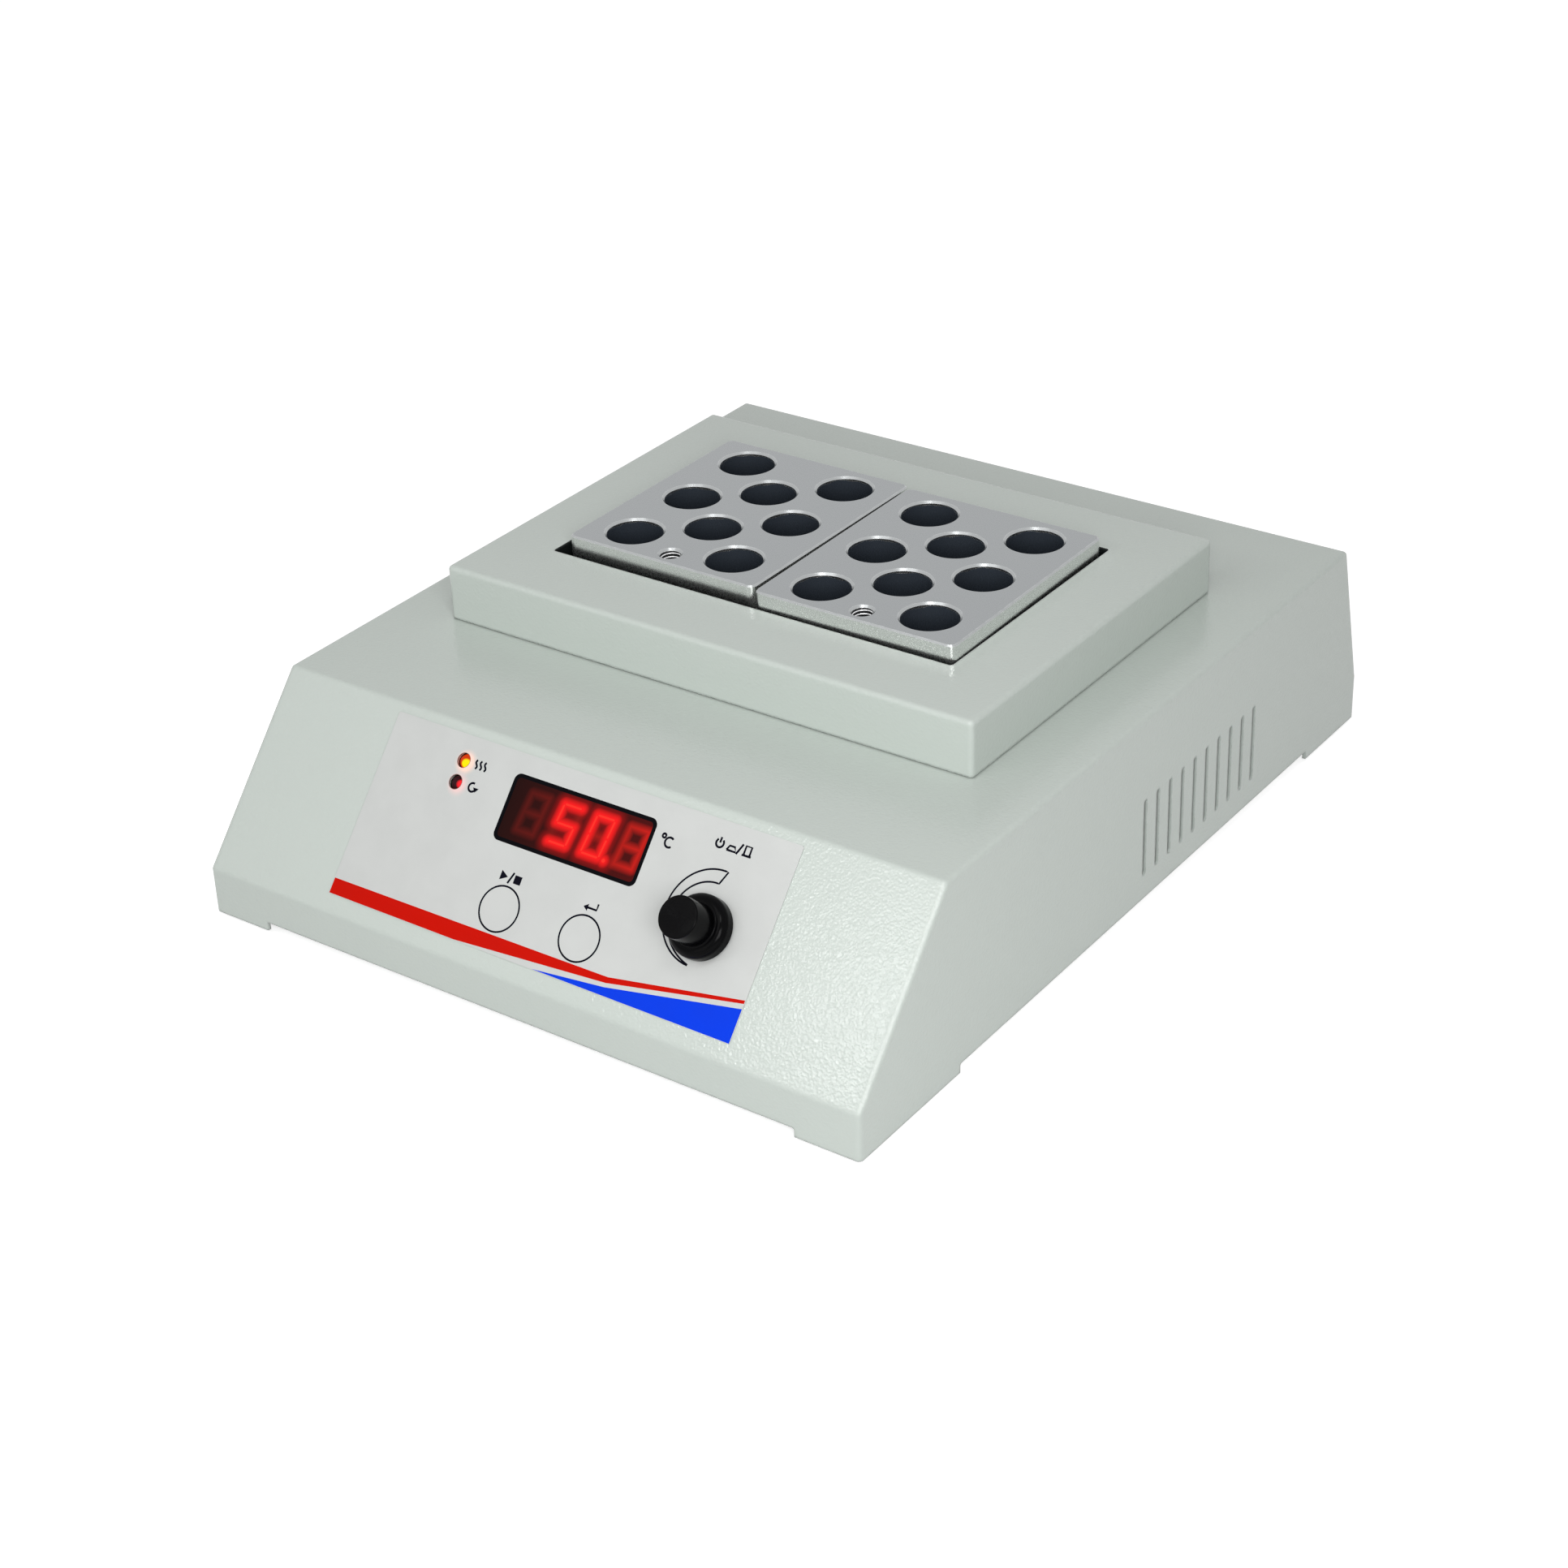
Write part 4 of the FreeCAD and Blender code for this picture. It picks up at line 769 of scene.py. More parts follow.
class Sheet:
    """Mesh pieces laid out flat in a surface's own axes, then carried to it."""

    def __init__(self, origin: Vector, across: Vector, up: Vector, outward: Vector) -> None:
        """Keeps the surface's origin and its three directions."""
        self.frame = Matrix((across, up, outward)).transposed().to_4x4()
        self.frame.translation = origin

    def point(self, x: float, y: float, height: float = 0.0) -> Vector:
        """A point of the surface from millimetres across, up and out."""
        return self.frame @ (Vector((x, y, height)) * MM)

    def prism(self, name: str, outlines: Iterable[Sequence[Point]], low: float,
              high: float) -> bpy.types.Object:
        """Raises closed outlines into one piece of thin solid prisms.

        Args:
            name: the piece's name.
            outlines: closed outlines in millimetres, anticlockwise.
            low, high: the heights of the underside and of the top in millimetres.

        Returns:
            The new piece.
        """
        mesh = bmesh.new()
        for outline in outlines:
            under = [mesh.verts.new(self.point(x, y, low)) for x, y in outline]
            over = [mesh.verts.new(self.point(x, y, high)) for x, y in outline]
            mesh.faces.new(over)
            mesh.faces.new(list(reversed(under)))
            for a, b in zip(range(len(outline)), list(range(1, len(outline))) + [0]):
                mesh.faces.new((under[a], under[b], over[b], over[a]))
        return finish_mesh(name, mesh)

    def band(self, name: str, loops: Iterable[tuple[Sequence[Point], Sequence[Point]]],
             low: float, high: float) -> bpy.types.Object:
        """Raises bands between matching pairs of outlines, such as rings and frames.

        Args:
            name: the piece's name.
            loops: pairs of an outer and an inner outline with as many points each.
            low, high: the heights of the underside and of the top in millimetres.

        Returns:
            The new piece.
        """
        mesh = bmesh.new()
        for outer, inner in loops:
            count = len(outer)
            rows = [[mesh.verts.new(self.point(x, y, z)) for x, y in line]
                    for line, z in ((outer, low), (outer, high), (inner, high), (inner, low))]
            for a in range(count):
                b = (a + 1) % count
                for first, second in zip(rows, rows[1:] + rows[:1]):
                    mesh.faces.new((first[a], first[b], second[b], second[a]))
        return finish_mesh(name, mesh)

    def line(self, name: str, routes: Iterable[Sequence[Point]], width: float, low: float, high: float,
             closed: bool = False) -> bpy.types.Object:
        """Draws printed lines of one width along open or closed routes.

        Args:
            name: the piece's name.
            routes: the points that each line follows.
            width: the lines' width in millimetres.
            low, high: the heights of the underside and of the top in millimetres.
            closed: whether each line returns to its start.

        Returns:
            The new piece.
        """
        mesh = bmesh.new()
        for route in routes:
            self.add_line(mesh, route, width, low, high, closed)
        return finish_mesh(name, mesh)

    def add_line(self, mesh: bmesh.types.BMesh, route: Sequence[Point], width: float, low: float,
                 high: float, closed: bool) -> None:
        """Adds one printed line to a mesh.

        Args:
            mesh: the mesh that takes it.
            route: the points that the line follows.
            width: the line's width in millimetres.
            low, high: the heights of the underside and of the top in millimetres.
            closed: whether the line returns to its start.
        """
        count = len(route)
        sides = []
        for i, here in enumerate(route):
            before = route[(i - 1) % count] if closed or i else here
            after = route[(i + 1) % count] if closed or i < count - 1 else here
            way = Vector((after[0] - before[0], after[1] - before[1]))
            way.normalize()
            normal = Vector((-way.y, way.x)) * (width / 2)
            sides.append([mesh.verts.new(self.point(here[0] + s * normal.x, here[1] + s * normal.y, z))
                          for s, z in ((-1, low), (-1, high), (1, high), (1, low))])
        for i in range(count if closed else count - 1):
            here, there = sides[i], sides[(i + 1) % count]
            for a in range(4):
                b = (a + 1) % 4
                mesh.faces.new((here[a], there[a], there[b], here[b]))
        if not closed:
            mesh.faces.new(list(reversed(sides[0])))
            mesh.faces.new(sides[-1])


def finish_mesh(name: str, mesh: bmesh.types.BMesh) -> bpy.types.Object:
    """Turns a built mesh into a linked object with clean outward faces.

    Args:
        name: the object's name.
        mesh: the built mesh, which is freed.

    Returns:
        The new object.
    """
    bmesh.ops.recalc_face_normals(mesh, faces=mesh.faces)
    data = bpy.data.meshes.new(name)
    mesh.to_mesh(data)
    mesh.free()
    made = bpy.data.objects.new(name, data)
    bpy.context.scene.collection.objects.link(made)
    return made


def wear(piece: bpy.types.Object, finish: Finish, body: str) -> bpy.types.Object:
    """Gives a piece its finish in a material slot and the body it rides on.

    Args:
        piece: the piece to dress.
        finish: the finish it wears.
        body: the body that carries it.

    Returns:
        The same piece.
    """
    piece.data.materials.clear()
    piece.data.materials.append(finish.material())
    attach(piece, body)
    LOG.info("%s rides on %s", piece.name, body)
    return piece


def arc(cx: float, cy: float, radius: float, start: float, end: float, steps: int) -> list[Point]:
    """Points along an arc by its start and end angles in degrees."""
    angles = [math.radians(start + (end - start) * i / steps) for i in range(steps + 1)]
    return [(cx + radius * math.cos(a), cy + radius * math.sin(a)) for a in angles]


def circle(cx: float, cy: float, radius: float, steps: int = 72) -> list[Point]:
    """Points round a full circle, its first point not repeated."""
    return arc(cx, cy, radius, 0, 360, steps)[:-1]


def rounded_box(cx: float, cy: float, width: float, height: float, corner: float,
                steps: int = 10) -> list[Point]:
    """A rectangle with round corners about its middle.

    Args:
        cx, cy: its middle.
        width, height: its size over all.
        corner: the corners' radius.
        steps: how many straight runs make each corner.

    Returns:
        Its points, anticlockwise.
    """
    x = width / 2 - corner
    y = height / 2 - corner
    points: list[Point] = []
    for i, (sx, sy) in enumerate(((1, 1), (-1, 1), (-1, -1), (1, -1))):
        points += arc(cx + sx * x, cy + sy * y, corner, 90 * i, 90 * i + 90, steps)
    return points


@dataclass
class FrontPanel:
    """The printed film on the slope: stripes, rings, marks, window frame and display."""

    sheet: Sheet
    knob: Point
    keys: tuple[Point, Point]
    film_left: float = -75.65
    film_right: float = 76.65
    film_base: float = 5.8
    film_top: float = 65.8
    film: float = 0.4
    ink: float = 0.03
    line: float = 0.56
    mark_line: float = 0.66
    window: Point = (0.9, 49.0)
    window_width: float = 53.7
    window_height: float = 21.3
    window_corner: float = 2.3
    frame_width: float = 1.25
    stripe_inset: float = 0.15
    stripe_bend: float = 46.0
    digit_pitch: float = 12.4
    digit_height: float = 12.0
    digit_width: float = 6.6
    digit_shift: Point = (2.6, 0.2)
    bar: float = 0.6
    slant: float = 0.09
    scale_radius: float = 14.6
    scale_width: float = 3.9
    scale_shift: Point = (-0.4, 3.0)
    scale_ends: tuple[float, float] = (92.0, 267.0)
    scale_steps: int = 60
    rim_radii: tuple[float, float] = (2.42, 2.28)
    lamps: tuple[Point, Point] = ((-46.0, 57.8), (-46.0, 50.8))
    ring_radius: float = 7.05
    red: Finish = PrintInk("ink_red", (200, 20, 8), 0.42)
    blue: Finish = PrintInk("ink_blue", (14, 62, 224), 0.42)
    black: Finish = PrintInk("ink_black", (12, 12, 24), 0.45)
    frame_black: Finish = PrintInk("ink_frame", (8, 8, 12), 0.35)
    lit: Finish = Glow("digit_lit", (20, 2, 2), 0.4, light=(255, 62, 46), far=(255, 52, 40))

    def top(self) -> float:
        """The film's face above the slope."""
        return self.film

    def build(self) -> None:
        """Builds all that is printed on the film or seen through its window."""
        self.stripes()
        self.key_rings()
        self.knob_scale()
        self.marks()
        self.window_frame()
        self.display()
        self.lamp_rims()

    def print_piece(self, piece: bpy.types.Object, ink: Finish) -> None:
        """Dresses a printed piece in its ink."""
        wear(piece, ink, "case")

    def stripes(self) -> None:
        """Lays the two long tapering stripes along the film's lower edge."""
        low, high = self.top(), self.top() + self.ink
        left, right = self.film_left + self.stripe_inset, self.film_right - self.stripe_inset
        base = self.film_base + self.stripe_inset
        bend = right - self.stripe_bend
        blue = [(bend - 26.0, base), (right, base), (right, base + 10.4), (bend, base + 2.5)]
        red = [(left, base), (left + 50.0, base), (bend, base + 3.8), (right, base + 12.0),
               (right, base + 13.0), (bend, base + 5.6), (left, base + 4.9)]
        self.print_piece(self.sheet.prism("stripe_blue", [blue], low, high), self.blue)
        self.print_piece(self.sheet.prism("stripe_red", [red], low, high), self.red)

    def key_rings(self) -> None:
        """Prints the thin black ring round each key."""
        for (x, y), name in zip(self.keys, ("start_key_ring", "set_key_ring")):
            outer = circle(x, y, self.ring_radius + self.line / 2)
            inner = circle(x, y, self.ring_radius - self.line / 2)
            piece = self.sheet.band(name, [(outer, inner)], self.top() - 0.2, self.top() + self.ink)
            self.print_piece(piece, self.black)

    def knob_scale(self) -> None:
        """Prints the open crescent that widens clockwise round the knob."""
        x, y = self.knob[0] + self.scale_shift[0], self.knob[1] + self.scale_shift[1]
        first, last = self.scale_ends
        outer = arc(x, y, self.scale_radius, last, first - 7, self.scale_steps)
        inner = []
        for i in range(self.scale_steps + 1):
            t = i / self.scale_steps
            angle = math.radians(first + (last - first) * t)
            radius = self.scale_radius - self.scale_width * (1 - t) ** 0.75 - 0.15
            inner.append((x + radius * math.cos(angle), y + radius * math.sin(angle)))
        low, high = self.top(), self.top() + self.ink
        piece = self.sheet.line("knob_scale", [outer + inner], self.line, low, high, True)
        self.print_piece(piece, self.black)

    def marks(self) -> None:
        """Prints plain symbols: heat, running, start and stop, set, the unit, mains, push in and out."""
        low, high = self.top(), self.top() + self.ink
        lines: list[list[Point]] = []
        shapes: list[list[Point]] = []
        for add in (self.lamp_marks, self.key_marks, self.unit_mark, self.mains_marks):
            more_lines, more_shapes = add()
            lines += more_lines
            shapes += more_shapes
        self.print_piece(self.sheet.line("mark_lines", lines, self.mark_line, low, high), self.black)
        self.print_piece(self.sheet.prism("mark_shapes", shapes, low, high), self.black)

    def lamp_marks(self) -> tuple[list[list[Point]], list[list[Point]]]:
        """Three rising waves for heat, and a turning arrow for running.

        Returns:
            The routes of the lines, and the filled shapes.
        """
        (lamp_x, heat_y), (_, run_y) = self.lamps
        lines = []
        for i in range(3):
            x = lamp_x + 5.0 + 1.7 * i
            lines.append([(x + 0.4 * math.sin(2 * math.pi * t / 12), heat_y - 1.4 + 2.8 * t / 12)
                          for t in range(13)])
        lines.append(arc(lamp_x + 6.6, run_y, 1.35, 70, 350, 24))
        shapes = [[(lamp_x + 6.9, run_y + 0.1), (lamp_x + 9.1, run_y + 0.1), (lamp_x + 8.0, run_y - 1.3)]]
        return lines, shapes

    def key_marks(self) -> tuple[list[list[Point]], list[list[Point]]]:
        """A triangle, a stroke and a square for start and stop, and a return arrow for set.

        Returns:
            The routes of the lines, and the filled shapes.
        """
        (start_x, key_y), (set_x, _) = self.keys
        y = key_y + 9.8
        shapes = [[(start_x - 3.9, y - 1.5), (start_x - 1.2, y), (start_x - 3.9, y + 1.5)],
                  [(start_x + 1.3, y - 1.3), (start_x + 3.9, y - 1.3), (start_x + 3.9, y + 1.3),
                   (start_x + 1.3, y + 1.3)],
                  [(set_x - 2.6, y - 0.4), (set_x - 1.0, y - 1.5), (set_x - 1.0, y + 0.7)]]
        lines = [[(start_x - 0.6, y - 1.8), (start_x + 0.6, y + 1.8)],
                 [(set_x + 2.2, y + 1.5), (set_x + 2.2, y - 0.4), (set_x - 1.2, y - 0.4)]]
        return lines, shapes

    def unit_mark(self) -> tuple[list[list[Point]], list[list[Point]]]:
        """The degree ring and the letter of the temperature unit.

        Returns:
            The routes of the lines, and the filled shapes.
        """
        x = self.window[0] + self.window_width / 2 + 5.9
        y = self.window_v_top() - 5.3
        lines = [arc(x - 2.3, y + 1.5, 0.6, 0, 360, 20), arc(x + 0.1, y, 1.5, 48, 312, 30)]
        return lines, []

    def window_v_top(self) -> float:
        """The window's upper edge."""
        return self.window[1] + self.window_height / 2

    def mains_marks(self) -> tuple[list[list[Point]], list[list[Point]]]:
        """A ring with a stroke for mains, then a button pushed in and one standing out.

        Returns:
            The routes of the lines, and the filled shapes.
        """
        x, y = self.knob[0], self.film_top - 8.0
        lines = [arc(x - 5.4, y + 1.2, 1.3, 130, 410, 26), [(x - 5.4, y + 1.3), (x - 5.4, y + 3.0)]]
        lines.append([(x - 2.6, y), (x + 0.6, y), (x - 0.1, y + 1.4), (x - 1.9, y + 1.4), (x - 2.6, y)])
        lines.append([(x + 2.8, y), (x + 6.0, y), (x + 5.4, y), (x + 5.4, y + 2.8), (x + 3.4, y + 2.8),
                      (x + 3.4, y)])
        lines.append([(x + 0.9, y - 0.4), (x + 2.3, y + 3.0)])
        return lines, []

    def window_frame(self) -> None:
        """Prints the black frame inside the window's edge."""
        x, y = self.window
        outer = rounded_box(x, y, self.window_width, self.window_height, self.window_corner)
        inner = rounded_box(x, y, self.window_width - 2 * self.frame_width,
                            self.window_height - 2 * self.frame_width, self.window_corner - 1.0)
        piece = self.sheet.band("window_frame", [(outer, inner)], self.top() - 0.1, self.top() + self.ink)
        self.print_piece(piece, self.frame_black)

    def digit_centre(self, index: int) -> Point:
        """The middle of a digit, counted from the left."""
        shift_x, shift_y = self.digit_shift
        return self.window[0] + shift_x + (index - 1.5) * self.digit_pitch, self.window[1] + shift_y

    def bars(self, index: int) -> dict[str, list[Point]]:
        """The seven bars of a digit as pointed slanted outlines.

        Args:
            index: the digit's place, counted from the left.

        Returns:
            Each bar's outline by its letter.
        """
        x, y = self.digit_centre(index)
        half_w, half_h = self.digit_width / 2, self.digit_height / 2
        inset = self.bar / 2
        gap = 0.22
        spots = {
            "a": ((-half_w, half_h), (half_w, half_h)),
            "b": ((half_w, half_h), (half_w, 0)),
            "c": ((half_w, 0), (half_w, -half_h)),
            "d": ((-half_w, -half_h), (half_w, -half_h)),
            "e": ((-half_w, 0), (-half_w, -half_h)),
            "f": ((-half_w, half_h), (-half_w, 0)),
            "g": ((-half_w, 0), (half_w, 0)),
        }
        made = {}
        for name, (start, end) in spots.items():
            a, b = Vector(start), Vector(end)
            way = (b - a).normalized()
            side = Vector((-way.y, way.x)) * inset
            a, b = a + way * gap, b - way * gap
            ring = [a, a + way * inset - side, b - way * inset - side, b, b - way * inset + side,
                    a + way * inset + side]
            made[name] = [(x + p.x + self.slant * p.y, y + p.y) for p in ring]
        return made

    def display(self) -> None:
        """Builds the bright middles of the lit bars: a five, and a nought with its point."""
        lit_bars = []
        for index, wanted in ((1, "acdfg"), (2, "abcdef")):
            lit_bars += [outline for name, outline in self.bars(index).items() if name in wanted]
        lit_bars.append(circle(*self.point(), 0.6, 24))
        wear(self.sheet.prism("digits_lit", lit_bars, self.top(), self.top() + self.ink), self.lit, "case")

    def point(self) -> Point:
        """The middle of the decimal point."""
        x, y = self.digit_centre(2)
        return x + self.digit_width / 2 + 1.5, y - self.digit_height / 2 - 0.2

    def window_finish(self, tilt: float) -> Finish:
        """The window's finish, with its digits where the lit bars are.

        Args:
            tilt: the slope's angle in radians.

        Returns:
            The finish.
        """
        x, y = self.window[0], self.digit_centre(0)[1]
        places = tuple(self.digit_centre(i)[0] - x for i in range(4))
        dot = (self.point()[0] - x, self.point()[1] - y)
        centre = tuple(self.sheet.point(x, y, self.film))
        return RedWindow("window_red", (4, 1, 1), 0.16, centre=centre, tilt=tilt, slant=self.slant,
                         half_width=self.digit_width / 2, half_height=self.digit_height / 2,
                         places=places, point=dot)

    def lamp_finish(self, index: int, name: str, near: Triple,
                    far: Triple, shift: Point, reach: float) -> Finish:
        """A lamp's finish, brightest beside its middle.

        Args:
            index: the lamp's place, counted from the top.
            name: the material's name.
            near, far: the colours of the bright patch and of the rest.
            shift: how far the bright patch lies from the lamp's middle, in millimetres.
            reach: how far the bright patch spreads, in millimetres.

        Returns:
            The finish.
        """
        x, y = self.lamps[index]
        centre = tuple(self.sheet.point(x + shift[0], y + shift[1], self.film))
        return Glow(name, tuple(0.3 * part for part in far), 0.2, light=near, far=far, centre=centre,
                    reach=reach * MM)

    def film_finish(self) -> Finish:
        """The film's finish, faintly lit round both lamps."""
        lamps = tuple(tuple(self.sheet.point(x + 1.0, y - 0.4, self.film)) for x, y in self.lamps)
        return PanelFilm("film_grey", (201, 203, 201), 0.42, specular=0.25, lamps=lamps,
                         lights=((255, 140, 60), (190, 60, 50)))

    def lamp_rims(self) -> None:
        """Lays a fine rim of painted shade round each lamp hole."""
        loops = [tuple(circle(x, y, radius, 40) for radius in self.rim_radii) for x, y in self.lamps]
        piece = self.sheet.band("lamp_rims", loops, self.top() - 0.3, self.top() + self.ink)
        # The rim's colour is painted shade at the hole's edge.
        self.print_piece(piece, PrintInk("rim_shade", (128, 96, 88), 0.5))


@dataclass
class LiftThread:
    """The cut thread inside a block's lifting hole."""

    block: str
    centre: Vector
    bore: float = 3.4
    crest: float = 3.15
    pitch: float = 1.25
    turns: float = 8.0
    around: int = 40
    root_inset: float = 0.02
    root_half: float = 0.30
    crest_half: float = 0.08

    def build(self, metal: Finish) -> None:
        """Winds the thread down the hole and makes it ride with its block.

        Args:
            metal: the finish it wears.
        """
        mesh = bmesh.new()
        rows = []
        count = int(self.turns * self.around)
        root = self.bore - self.root_inset
        profile = ((root, self.root_half), (self.crest, self.crest_half), (self.crest, -self.crest_half),
                   (root, -self.root_half))
        for i in range(count + 1):
            angle = 2 * math.pi * i / self.around
            drop = -self.pitch * i / self.around
            row = []
            for radius, shift in profile:
                offset = Vector((radius * math.cos(angle), radius * math.sin(angle), drop + shift)) * MM
                row.append(mesh.verts.new(self.centre + offset))
            rows.append(row)
        for here, there in zip(rows, rows[1:]):
            for a in range(4):
                b = (a + 1) % 4
                mesh.faces.new((here[a], there[a], there[b], here[b]))
        mesh.faces.new(rows[0])
        mesh.faces.new(list(reversed(rows[-1])))
        piece = finish_mesh(self.block + "_thread", mesh)
        wear(piece, metal, self.block)


@dataclass
class WellWalls:
    """Sleeves of painted shade on the walls of one block's round holes, each with a ragged bright mouth
    left above.
    """

    block: str
    centres: Sequence[Vector]
    top: float
    radius: float = 9.28
    mouth: float = 0.9
    ragged: float = 0.38
    depth: float = 43.46
    around: int = 64
    piece: str = "_bore_shade"
    wall: float = 0.04

    def build(self, finish: Finish) -> None:
        """Builds every sleeve of the block as one piece that rides with it.

        Args:
            finish: the finish it wears.
        """
        mesh = bmesh.new()
        for index, centre in enumerate(self.centres):
            self.sleeve(mesh, centre, 1.7 * index)
        wear(finish_mesh(self.block + self.piece, mesh), finish, self.block)

    def edge(self, angle: float, phase: float) -> float:
        """How far the painted-shade wall starts below the block's face at an angle, in millimetres."""
        wave = 0.5 * math.sin(5 * angle + phase) + 0.3 * math.sin(9 * angle + 2.3 * phase)
        wave += 0.2 * math.sin(14 * angle)
        return self.mouth + self.ragged * (1 + wave)

    def sleeve(self, mesh: bmesh.types.BMesh, centre: Vector, phase: float) -> None:
        """Adds one sleeve: a thin wall and floor that face into the hole.

        Args:
            mesh: the mesh that takes it.
            centre: a point on the hole's axis.
            phase: what turns the mouth's ragged edge.
        """
        rows: list[list[bmesh.types.BMVert]] = [[], [], [], []]
        for i in range(self.around):
            angle = 2 * math.pi * i / self.around
            start = self.edge(angle, phase)
            for row, (radius, down) in zip(rows, ((self.radius, start), (self.radius - self.wall, start),
                                                  (self.radius - self.wall, self.depth - self.wall),
                                                  (self.radius, self.depth))):
                x = centre.x + radius * MM * math.cos(angle)
                y = centre.y + radius * MM * math.sin(angle)
                row.append(mesh.verts.new((x, y, self.top - down * MM)))
        for i in range(self.around):
            j = (i + 1) % self.around
            for first, second in ((rows[0], rows[1]), (rows[1], rows[2]), (rows[3], rows[0])):
                mesh.faces.new((first[i], first[j], second[j], second[i]))
        mesh.faces.new(rows[2])
        mesh.faces.new(list(reversed(rows[3])))


@dataclass
class Studio:
    """The pale floor, the soft lamps and the camera at the photo's place."""

    azimuth: float = 36.291
    elevation: float = 29.858
    roll: float = -2.185
    distance: float = 0.96042
    target: Vector = field(default_factory=lambda: Vector((0.03007, -0.05413, 0.04660)))
    focal: float = 3852.9
    image: float = 1932.0
    sensor: float = 36.0
    floor_size: float = 6.0
    floor_tone: float = 0.6
    floor_glow: float = 0.74
    room_light: float = 0.39
    softboxes: tuple[tuple[str, Triple, Triple, float, float], ...] = (
        ("front_top", (0.0, -0.45, 0.55), (0.0, -0.05, 0.06), 0.35, 0.6),
        ("front_low", (0.0, -0.75, 0.22), (0.0, -0.1, 0.05), 0.35, 0.3),
        ("side_near", (0.49, -0.52, 0.38), (0.1, -0.05, 0.05), 0.3, 2.5),
        ("left_near", (-0.45, -0.5, 0.4), (-0.05, -0.05, 0.05), 0.35, 0.15),
        ("slope_glare", (-0.29, -0.71, 0.57), (0.12, -0.14, 0.03), 0.06, 0.25),
        ("high", (0.33, -0.45, 0.95), (0.0, 0.0, 0.08), 0.2, 1.1),
    )

    def build(self) -> None:
        """Builds the floor, the lights and the camera, with plain screen colours."""
        bpy.context.scene.view_settings.view_transform = "Standard"
        self.floor()
        self.lamps()
        self.world()
        self.camera()

    def camera(self) -> None:
        """Sets the camera where the photo was taken from."""
        a, e, r = (math.radians(v) for v in (self.azimuth, self.elevation, self.roll))
        back = Vector((math.sin(a) * math.cos(e), -math.cos(a) * math.cos(e), math.sin(e)))
        right = (-back).cross(Vector((0, 0, 1))).normalized()
        up = right.cross(-back)
        turned_right = math.cos(r) * right + math.sin(r) * up
        turned_up = -math.sin(r) * right + math.cos(r) * up
        data = bpy.data.cameras.new("camera")
        data.sensor_width = self.sensor
        data.lens = self.focal / self.image * self.sensor
        data.clip_start = 0.01
        camera = bpy.data.objects.new("camera", data)
        place = Matrix((turned_right, turned_up, back)).transposed().to_4x4()
        place.translation = self.target + back * self.distance
        camera.matrix_world = place
        bpy.context.scene.collection.objects.link(camera)
        bpy.context.scene.camera = camera

    def floor(self) -> None:
        """Lays a wide flat floor that takes shadows and shows near white."""
        mesh = bmesh.new()
        bmesh.ops.create_grid(mesh, x_segments=8, y_segments=8, size=self.floor_size)
        floor = finish_mesh("studio_floor", mesh)
        made = bpy.data.materials.new("studio_white")
        made.use_nodes = True
        kit = Nodes(made.node_tree)
        shader = made.node_tree.nodes["Principled BSDF"]
        shader.inputs["Base Color"].default_value = (self.floor_tone, self.floor_tone, self.floor_tone, 1.0)
        shader.inputs["Roughness"].default_value = 0.9
        glow = kit.add("Emission")
        path = kit.add("LightPath")
        seen = kit.math("MAXIMUM", path.outputs["Is Camera Ray"], path.outputs["Is Glossy Ray"])
        seen = kit.math("MAXIMUM", seen, path.outputs["Is Transmission Ray"])
        shown = kit.math("MULTIPLY", seen, self.floor_glow)
        kit.link(shown, glow.inputs["Strength"])
        both = kit.add("AddShader")
        kit.link(shader.outputs[0], both.inputs[0])
        kit.link(glow.outputs[0], both.inputs[1])
        kit.link(both.outputs[0], made.node_tree.nodes["Material Output"].inputs["Surface"])
        floor.data.materials.append(made)

    def world(self) -> None:
        """Lights the room softly and shows white behind the object."""
        world = bpy.data.worlds.new("studio_world")
        bpy.context.scene.world = world
        world.use_nodes = True
        kit = Nodes(world.node_tree)
        back = world.node_tree.nodes["Background"]
        back.inputs["Color"].default_value = (1.0, 1.0, 1.0, 1.0)
        path = kit.add("LightPath")
        seen = kit.math("MAXIMUM", path.outputs["Is Camera Ray"], path.outputs["Is Transmission Ray"])
        seen = kit.math("MAXIMUM", seen, path.outputs["Is Glossy Ray"])
        strength = kit.ramp(seen, 0, 1, self.room_light, 1.0)
        kit.link(strength, back.inputs["Strength"])

    def lamps(self) -> None:
        """Hangs the square softboxes round the front, each aimed at the object."""
        for name, place, aim, size, power in self.softboxes:
            data = bpy.data.lights.new(name, "AREA")
            data.shape = "SQUARE"
            data.size = size
            data.energy = power
            lamp = bpy.data.objects.new(name, data)
            lamp.location = place
            lamp.rotation_euler = (Vector(aim) - Vector(place)).to_track_quat("-Z", "Y").to_euler()
            bpy.context.scene.collection.objects.link(lamp)


